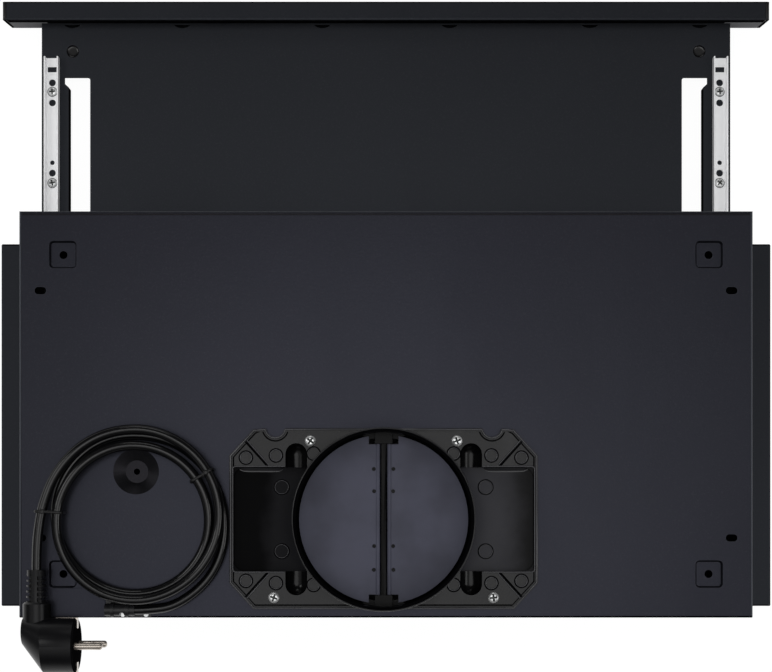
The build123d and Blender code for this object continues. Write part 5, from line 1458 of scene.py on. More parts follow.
@dataclass
class MainsCord:
    """The cord from its clamp through the tied coil to the plug's strain relief."""

    diameter: float = 6.8
    middle: Span = (172.6, 166.3)
    low: float = 180.6
    high: float = 187.9
    start: Span = (173.0, 230.3)
    lead_radius: float = 54.2
    tie_band: float = 2.0
    side_radius: float = 60.6
    tops: Point = (57.2, 49.0, 60.0)
    bottoms: Span = (53.0, 56.8)
    last_radius: float = 60.8
    tail: tuple[Span, ...] = ((234.6, 156.8), (237.4, 171.5), (239.0, 187.1), (239.0, 202.6))
    length: float = 1.007
    half_turn_guides: int = 6
    smoothness: int = 8
    piece: Optional[Item] = None

    def half_turn(self, y_from: float, y_to: float, z_from: float, z_to: float, side: int) -> np.ndarray:
        """Guide points of one half turn.

        At share t of the half turn the angle is pi t, the point lies at the half turn's own
        middle plus its radius times (side sin, cos) of the angle, and the height moves from
        one layer to the other as (1 - cos) / 2. Guides stand out by 1 / cos of half their
        step, so that the smooth line through them has the radius itself.

        Args:
            y_from: Where it starts, from the coil's middle.
            y_to: Where it ends.
            z_from: The height at its start.
            z_to: The height at its end.
            side: 1 to pass on the +X side, or -1.

        Returns:
            The points, in millimetres.
        """
        count = self.half_turn_guides
        angle = math.pi * (np.arange(count) + 0.5) / count
        out = abs(y_to - y_from) / 2 / math.cos(math.pi / (2 * count))
        direction = math.copysign(1.0, y_from - y_to)
        x = self.middle[0] + side * out * np.sin(angle)
        y = self.middle[1] + (y_from + y_to) / 2 + direction * out * np.cos(angle)
        z = z_from + (z_to - z_from) * (1 - np.cos(angle)) / 2
        return np.column_stack([x, y, z])

    @staticmethod
    def arc(
        middle: Span, radius: float, start: float, steps: Sequence[float], half_step: float, height: float
    ) -> np.ndarray:
        """Guide points of a level arc, which stand out as those of a half turn do.

        Args:
            middle: The arc's middle.
            radius: Its radius.
            start: The angle that it starts from, in degrees.
            steps: How far round from there each guide lies, in degrees.
            half_step: Half the usual step between guides, in degrees.
            height: Its height.

        Returns:
            The points, in millimetres.
        """
        angle = np.radians(start + np.array(steps))
        out = radius / math.cos(math.radians(half_step))
        x, y = middle[0] + out * np.cos(angle), middle[1] + out * np.sin(angle)
        return np.column_stack([x, y, np.full(len(angle), height)])

    def guides(self) -> np.ndarray:
        """All the guide points from the clamp to the strain relief.

        Returns:
            The points, in millimetres.
        """
        x, y = self.middle
        x_start, y_start = self.start
        x_turn = x_start - self.diameter
        lead = np.array([[x_start, y_start, self.low], [x_turn - 1.0, y_start, self.low]])
        lead_middle = (x_turn, y_start - self.lead_radius)
        side_middle = (x, y - self.tops[0] + self.side_radius)
        last_middle = (x, y - self.tops[2] + self.last_radius)
        first = self.arc(lead_middle, self.lead_radius, 90.0, (22.5, 52.5, 80.0), 15.0, self.low)
        second = self.arc(side_middle, self.side_radius, 180.0, (12.0, 40.0, 70.0), 14.0, self.low)
        last = self.arc(last_middle, self.last_radius, -90.0, (12.0, 36.0, 60.0), 12.0, self.high)
        stations = (
            (-self.tops[0], self.low),
            (self.bottoms[0], self.low),
            (-self.tops[1], self.high),
            (self.bottoms[1], self.high),
            (-self.tops[2], self.high),
        )
        turns = [
            self.half_turn(a[0], b[0], a[1], b[1], 1 if index % 2 == 0 else -1)
            for index, (a, b) in enumerate(zip(stations, stations[1:]))
        ]
        tail = np.array([[x, y, self.high] for x, y in self.tail])
        return np.concatenate([lead, first, second, *turns, last, tail])

    def build(self, shop: Workshop) -> Item:
        """Make the cord as one smooth spline with a round section.

        Args:
            shop: The workshop.

        Returns:
            The cord.
        """
        route = self.guides() * MM
        curve = bpy.data.curves.new("mains_cord", "CURVE")
        curve.dimensions = "3D"
        curve.bevel_depth = self.diameter / 2 * MM
        curve.bevel_resolution = self.smoothness
        curve.resolution_u = self.smoothness
        curve.use_fill_caps = True
        spline = curve.splines.new("NURBS")
        spline.points.add(len(route) - 1)
        spline.points.foreach_set("co", np.column_stack([route, np.ones(len(route))]).ravel())
        spline.order_u = 3
        spline.use_endpoint_u = True
        item = bpy.data.objects.new("mains_cord", curve)
        bpy.context.scene.collection.objects.link(item)
        curve.materials.append(shop.rack["cord cover"])
        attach(item, "hood")
        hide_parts("cord_coil", "cord_tail")
        LOG.info("mains_cord has %d guide points", len(route))
        self.piece = item
        return item

    def centre_line(self, steps: int = 24) -> np.ndarray:
        """The cord's centre line as points.

        Between the middles of neighbouring runs the line is the curve
        (1 - t) ** 2 a + 2 t (1 - t) b + t ** 2 c, with b the guide point between them.

        Args:
            steps: Points for each guide point.

        Returns:
            The points, in millimetres.
        """
        route = self.guides()
        before = (route[:-2] + route[1:-1]) / 2
        after = (route[1:-1] + route[2:]) / 2
        t = np.linspace(0, 1, steps, endpoint=False)[None, :, None]
        curve = (1 - t) ** 2 * before[:, None] + 2 * t * (1 - t) * route[1:-1, None] + t**2 * after[:, None]
        return curve.reshape(-1, 3)

    def reach(self, degrees: float) -> Span:
        """How near and how far the cord passes from the coil's middle at an angle.

        Args:
            degrees: The angle about the coil's middle.

        Returns:
            The least and greatest distance, in millimetres.
        """
        angle = math.radians(degrees)
        away = self.centre_line()[:, :2] - np.array(self.middle)
        along = away @ np.array([math.cos(angle), math.sin(angle)])
        across = away @ np.array([-math.sin(angle), math.cos(angle)])
        inside = along[(np.abs(across) < self.tie_band) & (along > 0)]
        return float(inside.min()), float(inside.max())


@dataclass
class CordTies:
    """The two thin straps round the coil, each with a small lock on top."""

    angles: Span = (-3.4, 211.4)
    slack: float = 0.45
    thickness: float = 0.8
    width: float = 1.9
    corner: float = 2.2
    lock: Point = (3.4, 3.0, 1.5)

    def loop(self, cord: MainsCord, degrees: float) -> Block:
        """One strap as a band carried round a rounded rectangle.

        The path has half width a and half height b and corners of radius c: at angle t the
        point is (a - c) or (b - c) on the side that t falls in, plus c times (cos t, sin t).
        The band's section is an oval, thickness by width, on the path's outward normal.

        Args:
            cord: The cord it holds.
            degrees: The strap's angle about the coil's middle.

        Returns:
            The points and the faces.
        """
        near, far = cord.reach(degrees)
        half_width = (far - near) / 2 + cord.diameter / 2 + self.slack
        half_height = (cord.high - cord.low) / 2 + cord.diameter / 2 + self.slack
        t = np.concatenate([np.linspace(start, start + 90, 9) for start in (0, 90, 180, 270)])
        turn = np.radians(t)
        side_x = np.repeat([1, -1, -1, 1], 9) * (half_width - self.corner)
        side_z = np.repeat([1, 1, -1, -1], 9) * (half_height - self.corner)
        oval = np.radians(np.linspace(0, 360, 12, endpoint=False))
        out = self.corner + self.thickness / 2 + self.thickness / 2 * np.cos(oval)
        aside = self.width / 2 * np.sin(oval)
        outward = side_x[:, None] + out[None] * np.cos(turn)[:, None]
        upward = side_z[:, None] + out[None] * np.sin(turn)[:, None]
        sideways = np.broadcast_to(aside[None], outward.shape)
        points = self.placed(cord, degrees, (near + far) / 2, (outward, sideways, upward))
        return points, grid_faces(len(t), len(oval), True, True)

    @staticmethod
    def placed(cord: MainsCord, degrees: float, reach: float, offsets: Sequence[np.ndarray]) -> np.ndarray:
        """Turn offsets from the bundle's middle into places.

        Args:
            cord: The cord.
            degrees: The strap's angle.
            reach: How far the bundle's middle is from the coil's.
            offsets: The offsets outward, sideways and upward.

        Returns:
            The points, in metres.
        """
        outward, sideways, upward = offsets
        angle = math.radians(degrees)
        x = cord.middle[0] + (reach + outward) * math.cos(angle) - sideways * math.sin(angle)
        y = cord.middle[1] + (reach + outward) * math.sin(angle) + sideways * math.cos(angle)
        return np.stack([x, y, (cord.low + cord.high) / 2 + upward], axis=-1) * MM

    def lock_block(self, cord: MainsCord, degrees: float) -> Block:
        """The strap's lock, a soft-cornered block: |x / a| ** 4 + |y / b| ** 4 + |z / c| ** 4 = 1.

        Args:
            cord: The cord it holds.
            degrees: The strap's angle.

        Returns:
            The points and the faces.
        """
        far = cord.reach(degrees)[1]
        rise = (cord.high - cord.low) / 2 + cord.diameter / 2 + self.slack + self.thickness * 0.6
        polar = np.radians(np.linspace(0, 180, 17))[:, None]
        turn = np.radians(np.linspace(0, 360, 32, endpoint=False))[None]
        way = [np.sin(polar) * np.cos(turn), np.sin(polar) * np.sin(turn), np.cos(polar) + 0 * turn]
        size = sum(np.abs(part) ** 4 for part in way) ** -0.25
        u, v, z = (part * size * full / 2 for part, full in zip(way, self.lock))
        return self.placed(cord, degrees, far - 1.0, (u, v, z + rise)), grid_faces(17, 32, False, True)

    def build(self, shop: Workshop, cord: MainsCord) -> Item:
        """Make both straps as one piece.

        Args:
            shop: The workshop.
            cord: The cord they hold.

        Returns:
            The straps.
        """
        blocks = [self.loop(cord, degrees) for degrees in self.angles]
        blocks += [self.lock_block(cord, degrees) for degrees in self.angles]
        mesh = shop.merged("cord_straps", blocks)
        return shop.piece("cord_straps", mesh, "hood", "tie plastic", "tie_plastic", "cord_ties")


@dataclass
class Casing:
    """The upper box: wrapper, rear panel and top cover."""

    cone: Span = (172.8, 134.9)
    cone_radius: float = 16.3
    top: float = 176.0
    side: float = 252.75
    front: float = -44.55
    rear: float = 235.3
    crease: float = -43.0

    def in_cone(self, middle: Vector, normal: Vector) -> bool:
        """Whether a face of the cover lies in the pressed cone inside the coil."""
        away = math.hypot(middle.x - self.cone[0], middle.y - self.cone[1])
        return middle.z < self.top - 0.1 and away < self.cone_radius

    def hems(self, shop: Workshop) -> None:
        """The cover's rolled edges, with painted highlights at the sides and the front, a painted shade line
        at the rear, and a painted shade line along the front crease.

        Args:
            shop: The workshop.
        """
        side, front, top = self.side, self.front, self.top
        sides = [line(0.7, (x, front, top - 0.15), (x, self.rear - 0.9, top - 0.15)) for x in (-side, side)]
        for name, blocks, finish in (
            ("cover_side_hems", sides, "hem highlight paint"),
            ("cover_front_hem", cross_line(0.42, side, front, top), "roll highlight paint"),
            ("cover_front_crease", cross_line(1.0, side - 1.0, self.crease, top - 0.75), "pressed shade paint"),
            ("cover_rear_shade_line", cross_line(0.6, side + 0.4, self.rear, top - 0.1), "fold shade black"),
        ):
            shop.surface(name, blocks, "hood", finish, "casing_metal")

    def build(self, shop: Workshop) -> None:
        """Soften the folded sheets' edges and paint them.

        Args:
            shop: The workshop.
        """
        self.hems(shop)
        shop.softened("casing_wrapper", "cover paint", "casing_metal", 0.35)
        shop.softened("rear_panel", "cover paint", "casing_metal", 0.3)
        # The pressed cone gets the darker paint: painted shade in the dip.
        pressed = [("pressed shade paint", self.in_cone)]
        shop.softened("top_cover", "cover paint", "casing_metal", 0.8, accents=pressed)
        shop.softened("cord_entry_plate", "cover paint", "casing_metal", 0.2)
        shop.dress("screw plate", "casing_screws")


@dataclass
class LowerFrame:
    """The wings and the rails between them."""

    deck: float = 36.0
    reach: Span = (254.4, 298.4)
    ends: Span = (-45.0, 235.3)

    def build(self, shop: Workshop) -> None:
        """Soften and paint them, and lay a painted shade line along the wings' folds at both ends.

        Args:
            shop: The workshop.
        """
        near, far = self.reach
        shade_lines = [
            line(0.5, (side * near, y, self.deck), (side * far, y, self.deck))
            for side in (-1, 1)
            for y in self.ends
        ]
        shop.surface("wing_shade_lines", shade_lines, "hood", "fold shade black", "frame_metal")
        for node in ("wing_left", "wing_right", "front_rail", "rear_rail"):
            shop.softened(node, "wing paint", "frame_metal", 0.35)


@dataclass
class Outlet:
    """The outlet plate, its screws, the collar and the dampers."""

    centre: Span = (1.6, 167.9)
    seat: float = 179.0
    near: Span = (50.5, 54.0)
    far: Span = (75.7, 54.0)
    damper_top: float = 203.8
    pip_rows: tuple[Span, ...] = ((6.6, -34.0), (6.4, -19.0), (6.4, 18.0), (6.6, 34.0))
    pip_radius: float = 1.2
    pip_profile: tuple[Span, ...] = ((1.1, 0.0), (1.0, 0.25), (0.62, 0.25), (0.5, 0.05), (0.0, 0.05))
    head_radius: float = 3.95
    head_height: float = 2.2
    head_turns: tuple[float, ...] = (20.0, 55.0, 8.0, 70.0)
    rim_far: Span = (105.6, 61.2)
    rim_near: Span = (89.5, 43.6)
    notch: Point = (74.7, -63.0, 7.0)
    rim_bead: Point = (0.0, 0.6, 0.75)
    rim_shadow: Point = (2.0, -0.25, 0.6)
    discs: tuple[Span, ...] = ((95.0, 42.5), (74.3, 44.0), (48.3, 45.3))
    disc_bead: Point = (3.9, 0.0, 0.4)
    disc_shadow: Point = (4.7, -0.25, 0.5)
    score: tuple[Span, ...] = ((79.5, 36.8), (94.9, 54.0))
    score_bead: tuple[float, Point] = (0.5, (-0.6, 0.5, 0.0))
    score_shadow: tuple[float, Point] = (0.75, (0.5, -0.4, -0.3))
    pocket_disc: Span = (70.9, 22.3)
    pocket_bead: Point = (4.6, 0.0, 0.3)
    pocket_shadow: Point = (5.2, -0.15, 0.4)
    floor_start: Span = (30.25, 165.0)
    pocket_slope: float = 8.0 / 73.35
    pocket_half: float = 36.0
    pocket_end: float = 103.6
    pocket_start: float = 68.6
    pocket_corner: float = 8.0
    pocket_rim_size: Point = (0.5, 2.0, 0.55)
    gusset: Point = (0.06, -0.24, 1.3)
    fillet: Point = (3.0, 1.8, 0.2)
    fillet_ends: Span = (0.4, 3.0)
    lip: Point = (60.6, 0.75, 219.2)
    collar_inner: float = 58.9
    spine_end: float = 13.0

    def sunk(self, middle: Vector, side: int, pocket: bool) -> bool:
        """Whether a face lies under the plate's top in one side's pocket, or in its finger channels.

        Args:
            middle: The face's middle.
            side: 1 for +X, or -1.
            pocket: Whether to ask about the pocket, or else about the channels' ends.

        Returns:
            Whether the face lies there.
        """
        away = (middle.x - self.centre[0]) * side
        in_band = abs(middle.y - self.centre[1]) < self.pocket_half + 0.05
        return middle.z < self.seat - 0.9 and away > 50.0 and in_band == pocket

    def in_left_pocket(self, middle: Vector, normal: Vector) -> bool:
        """Whether a face lies in the +X pocket."""
        return self.sunk(middle, 1, True)

    def in_right_pocket(self, middle: Vector, normal: Vector) -> bool:
        """Whether a face lies in the -X pocket."""
        return self.sunk(middle, -1, True)

    def in_channel(self, middle: Vector, normal: Vector) -> bool:
        """Whether a face lies in a finger channel's end."""
        return self.sunk(middle, 1, False) or self.sunk(middle, -1, False)

    def on_rim(self, middle: Vector, normal: Vector) -> bool:
        """Whether a face is the collar's top rim."""
        return normal.z > 0.7 and middle.z > self.lip[2] - 0.5

    def in_spine_end(self, middle: Vector, normal: Vector) -> bool:
        """Whether a face belongs to the blocks that hold the dampers' spine."""
        return self.in_collar(middle, normal) and abs(middle.x - self.centre[0]) < self.spine_end

    def in_collar(self, middle: Vector, normal: Vector) -> bool:
        """Whether a face of the collar lies inside its rim."""
        return math.hypot(middle.x - self.centre[0], middle.y - self.centre[1]) < self.collar_inner

    def screw_seats(self) -> list[Point]:
        """Where the four heads sit.

        Returns:
            The four places, in metres.
        """
        x, y = self.centre
        seats = [(x + side * self.near[0], y - self.near[1], self.seat) for side in (-1, 1)]
        seats += [(x + side * self.far[0], y + self.far[1], self.seat) for side in (-1, 1)]
        return [tuple(value * MM for value in seat) for seat in seats]

    def outline(self, inset: float, rise: float) -> np.ndarray:
        """The middle line of the plate's raised rim, round its eight sides and two notches.

        Args:
            inset: How far inside the rim's middle it runs, in millimetres.
            rise: How far above the plate's top, in millimetres.

        Returns:
            The line's points, in metres.
        """
        half_x, half_y = (size - inset for size in self.rim_far)
        in_x, in_y = (size - 0.4 * inset for size in self.rim_near)
        notch_x, notch_y, radius = self.notch
        turn = np.radians(np.linspace(172.0, 8.0, 13))
        notch_line = [notch_x + (radius + inset) * np.cos(turn), notch_y + (radius + inset) * np.sin(turn)]
        low_edge = np.concatenate([np.column_stack(notch_line), [(in_x, -half_y), (half_x, -in_y)]])
        right = np.concatenate([low_edge, [(half_x, in_y), (in_x, half_y)]])
        left = right[::-1] * (-1.0, 1.0)
        flat = np.concatenate([right, left])
        x, y = self.centre
        return np.column_stack([flat[:, 0] + x, flat[:, 1] + y, np.full(len(flat), self.seat + rise)]) * MM

    def ring(
        self, offset: Sequence[float], radius: float, height: float, tilt: float = 0.0, steps: int = 40
    ) -> np.ndarray:
        """A circle about a point of the plate, its height growing by tilt with the distance along X.

        Args:
            offset: The middle's offset from the outlet's middle, along X and Y.
            radius: The circle's radius.
            height: Its middle's height.
            tilt: How much it rises for each millimetre along X.
            steps: How many points.

        Returns:
            The points, in metres.
        """
        v = np.linspace(0, 2 * math.pi, steps, endpoint=False)
        x, y = radius * np.cos(v), radius * np.sin(v)
        middle_x, middle_y = self.centre[0] + offset[0], self.centre[1] + offset[1]
        return np.column_stack([middle_x + x, middle_y + y, height + tilt * x]) * MM

    def floor(self, away: float | np.ndarray) -> float | np.ndarray:
        """The height of the pockets' floor at an offset from the outlet's middle."""
        start, height = self.floor_start
        return height + (abs(away) - start) * self.pocket_slope

    def rim_line(self, size: Point) -> Block:
        """A line along the plate's rim, by how far inside it, how high over the plate and how thick it is."""
        inset, rise, radius = size
        return bead(self.outline(inset, rise), radius * MM, True)

    def round_line(self, offset: Sequence[float], height: float, tilt: float, size: Point) -> Block:
        """A round mould line about a point of the plate."""
        reach, rise, radius = size
        return bead(self.ring(offset, reach, height + rise, tilt), radius * MM, True)

    def score_line(self, side_x: int, side_y: int, size: tuple[float, Point]) -> Block:
        """A straight mould line along one corner's score.

        Args:
            side_x: 1 for +X, or -1.
            side_y: 1 for +Y, or -1.
            size: The line's own radius, and how far it is set outward in X and in Y, and up.

        Returns:
            The points and the faces.
        """
        radius, (out_x, out_y, up) = size
        x, y = self.centre
        ends = [
            (x + side_x * dx + side_x * out_x, y + side_y * dy + side_y * out_y, self.seat + up)
            for dx, dy in self.score
        ]
        return line(radius, *ends)

    def beads(self, shop: Workshop) -> None:
        """Raised mould lines on the plate, in a lighter colour that paints their highlight, most of them with
        a black line beside them that paints their shadow.

        They follow its rim, its discs, its scores, the pockets' discs and the pockets' rims.

        Args:
            shop: The workshop.
        """
        blocks, shadow_lines = [self.rim_line(self.rim_bead)], [self.rim_line(self.rim_shadow)]
        far, aside = self.pocket_disc
        for side_x in (-1, 1):
            tilt = side_x * self.pocket_slope
            for side_y in (-1, 1):
                for dx, dy in self.discs:
                    place = (side_x * dx, side_y * dy)
                    blocks.append(self.round_line(place, self.seat, 0.0, self.disc_bead))
                    shadow_lines.append(self.round_line(place, self.seat, 0.0, self.disc_shadow))
                blocks.append(self.score_line(side_x, side_y, self.score_bead))
                shadow_lines.append(self.score_line(side_x, side_y, self.score_shadow))
                place = (side_x * far, side_y * aside)
                blocks.append(self.round_line(place, self.floor(far), tilt, self.pocket_bead))
                shadow_lines.append(self.round_line(place, self.floor(far), tilt, self.pocket_shadow))
            blocks.append(bead(self.pocket_rim(side_x), self.pocket_rim_size[2] * MM, False))
        shop.surface("plate_beads", blocks, "hood", "bead highlight gloss", "plate_plastic", 60.0)
        shop.surface("plate_shadow_lines", shadow_lines, "hood", "groove shadow black", "plate_plastic", 60.0)

    def pocket_rim(self, side: int) -> np.ndarray:
        """The line round one pocket's three outer sides, with rounded corners.

        Args:
            side: 1 for the +X pocket, or -1.

        Returns:
            The line's points, in metres.
        """
        away, corner, _ = self.pocket_rim_size
        reach, half = self.pocket_end + away, self.pocket_half + away
        turn = np.radians(np.linspace(-90.0, 0.0, 5))
        corner_line = [reach - corner + corner * np.cos(turn), -half + corner + corner * np.sin(turn)]
        low = np.column_stack(corner_line)
        lower = np.concatenate([[(self.pocket_start, -half)], low])
        flat = np.concatenate([lower, lower[::-1] * (1.0, -1.0)])
        x, y = self.centre
        return np.column_stack([x + side * flat[:, 0], y + flat[:, 1], np.full(len(flat), self.seat)]) * MM

    def corners(self, shop: Workshop, side: int, name: str) -> None:
        """Thin gussets in the pocket's painted-light colour that square the two outer corners of one pocket.

        At angle a about the corner's middle the section runs from the radius R out to the
        smallest of R / cos a, R / sin a and 1.3 R, and it is a low rectangle. Its width is
        nothing at both ends, where it closes.

        Args:
            shop: The workshop.
            side: 1 for the +X pocket, or -1.
            name: The pocket's name.
        """
        a = np.radians(np.linspace(0.0, 90.0, 25))
        square = self.pocket_corner / np.maximum(np.cos(a), np.sin(a))
        top, bottom, reach = self.gusset
        outer = np.minimum(square, self.pocket_corner * reach)
        inner = np.full_like(a, self.pocket_corner)
        radius = np.stack([inner, outer, outer, inner], axis=1)
        height = np.broadcast_to(np.array([top, top, bottom, bottom]), radius.shape) + self.seat
        middle_x, middle_y = self.pocket_end - self.pocket_corner, self.pocket_half - self.pocket_corner
        blocks = []
        for side_y in (-1, 1):
            x = self.centre[0] + side * (middle_x + radius * np.cos(a)[:, None])
            y = self.centre[1] + side_y * (middle_y + radius * np.sin(a)[:, None])
            blocks.append((np.stack([x, y, height], axis=-1) * MM, grid_faces(len(a), 4, False, True)))
        shop.surface(f"{name}_pocket_gussets", blocks, "hood", f"{name} pocket gloss", "plate_plastic")

    def fillets(self, shop: Workshop) -> None:
        """The round fillet along each pocket's front wall, in a lighter gloss that paints its highlight.

        At share u along the wall and t across it, the fillet lies at t times its width from
        the wall and at its height times (1 - t) ** 2 above the sloping floor, both times
        (1 - (2 u - 1) ** 8), so that it tapers to a point at each end. The section closes
        under the floor.

        Args:
            shop: The workshop.
        """
        width, height, sink = self.fillet
        start, shorter = self.fillet_ends
        u = np.linspace(0.0, 1.0, 33)
        t = np.linspace(0.0, 1.0, 9)
        taper = (1 - (2 * u - 1) ** 8)[:, None]
        across = np.concatenate([t, [1.0, 0.0]]) * width
        rise = np.concatenate([height * (1 - t) ** 2, [-sink, -sink]])
        dx = self.pocket_start + start + (self.pocket_end - self.pocket_start - shorter) * u
        blocks = []
        for side in (-1, 1):
            x = np.broadcast_to(self.centre[0] + side * dx[:, None], (len(u), len(across)))
            y = self.centre[1] - self.pocket_half + sink + taper * across[None]
            z = self.floor(dx[:, None]) + taper * rise[None]
            blocks.append((np.stack([x, y, z], axis=-1) * MM, grid_faces(len(u), len(across), False, True)))
        shop.surface("pocket_fillets", blocks, "hood", "fillet highlight gloss", "plate_plastic", 50.0)

    def collar_lip(self, shop: Workshop) -> None:
        """The thin rolled lip round the collar's rim, a round ring of one thickness, in a lighter plastic
        that paints the rim's highlight.

        Args:
            shop: The workshop.
        """
        reach, radius, height = self.lip
        ring = bead(self.ring((0.0, 0.0), reach, height, steps=120), radius * MM, True, 12)
        shop.surface("collar_lip", [ring], "hood", "lip highlight plastic", "plate_plastic", 60.0)

    def pips(self, shop: Workshop, side: int, name: str) -> None:
        """Small round bosses beside the spine on one damper.

        Each is a profile of flat rim and dished middle, turned about Z.

        Args:
            shop: The workshop.
            side: 1 for the +X damper, or -1.
            name: The damper's side name.
        """
        profile = np.array(self.pip_profile) * (self.pip_radius, 1.0) * MM
        x, y = self.centre
        seats = [((x + side * dx) * MM, (y + dy) * MM, self.damper_top * MM) for dx, dy in self.pip_rows]
        blocks = [turned_surface(profile, seat, UP, 24) for seat in seats]
        shop.surface(f"damper_pips_{name}", blocks, f"damper_{name}", "dark plastic and gap shade", "plate_plastic")

    def build(self, shop: Workshop) -> None:
        """Soften and dress the outlet's pieces, and make its screws and pips.

        Args:
            shop: The workshop.
        """
        accents = [
            ("left pocket gloss", self.in_left_pocket),
            ("right pocket gloss", self.in_right_pocket),
            ("channel shade gloss", self.in_channel),
        ]
        shop.softened("outlet_plate", "plate plastic", "plate_plastic", 0.3, accents=accents)
        self.corners(shop, 1, "left")
        self.corners(shop, -1, "right")
        self.fillets(shop)
        self.collar_lip(shop)
        # The collar's rim top and inside, and the blocks at the spine, are painted dark: painted shade.
        accents = [
            ("collar shade black", self.on_rim),
            ("dark plastic and gap shade", self.in_spine_end),
            ("collar shade black", self.in_collar),
        ]
        shop.softened("duct_collar", "collar plastic", "plate_plastic", 0.25, accents=accents)
        for side, name in ((-1, "left"), (1, "right")):
            shop.softened("damper_flap_" + name, "damper plastic", "plate_plastic", 0.25, "damper_" + name)
            self.pips(shop, side, name)
        self.beads(shop)
        screws = CrossHeadScrews(self.head_radius * MM, self.head_height * MM, self.head_turns)
        screws.build(shop, "outlet_screw_heads", self.screw_seats(), "hood", "outlet_screws")


@dataclass
class Blower:
    """What the casing holds: scroll, wheel, motor and electrics."""

    def build(self, shop: Workshop) -> None:
        """Dress the inner pieces.

        Args:
            shop: The workshop.
        """
        shop.dress("scroll plastic", "scroll_left", "scroll_right")
        shop.dress("wheel plastic", "impeller")
        shop.dress("motor steel", "motor_housing", "motor_mount", "motor_shaft")
        shop.dress("bearing bronze", "motor_bearings")
        shop.dress("capacitor can", "capacitor")
        shop.dress("zinc plate", "capacitor_clip")
        shop.dress("cap plastic", "terminal_box")


@dataclass
class Slides:
    """The two ball slides and their screws."""

    middle: float = 262.7
    seat: float = 20.5
    lines: Span = (-168.1, -96.3)
    head_radius: float = 3.5
    head_height: float = 1.5
    head_turns: tuple[float, ...] = (5.0, 48.0, 2.0, 12.0)
    rim_reach: float = 3.65
    rim: float = 0.28
    rim_steps: int = 40

    def build(self, shop: Workshop) -> None:
        """Soften the rails, and make the cross-headed screws with a dark ring round each that paints their
        shadow.

        Args:
            shop: The workshop.
        """
        for side in ("left", "right"):
            shop.softened("slide_outer_" + side, "zinc plate", "zinc_steel", 0.2)
            shop.softened("slide_inner_" + side, "zinc plate", "zinc_steel", 0.2, "visor")
        shop.dress("screw plate", "ball_cage_left", "ball_cage_right")
        shop.dress("zinc plate", "slide_brackets")
        seats = [(side * self.middle * MM, y * MM, self.seat * MM) for side in (-1, 1) for y in self.lines]
        screws = CrossHeadScrews(self.head_radius * MM, self.head_height * MM, self.head_turns)
        screws.build(shop, "slide_screw_heads", seats, "visor", "slide_screws")
        # Dark rings round the heads: painted shadow.
        turn = np.linspace(0, 2 * math.pi, self.rim_steps, endpoint=False)
        circle = np.column_stack([np.cos(turn), np.sin(turn), np.zeros(self.rim_steps)])
        rims = [bead(circle * self.rim_reach * MM + np.array(seat), self.rim * MM, True) for seat in seats]
        shop.surface("slide_screw_shadow_rings", rims, "visor", "recess shade", "screw_steel")


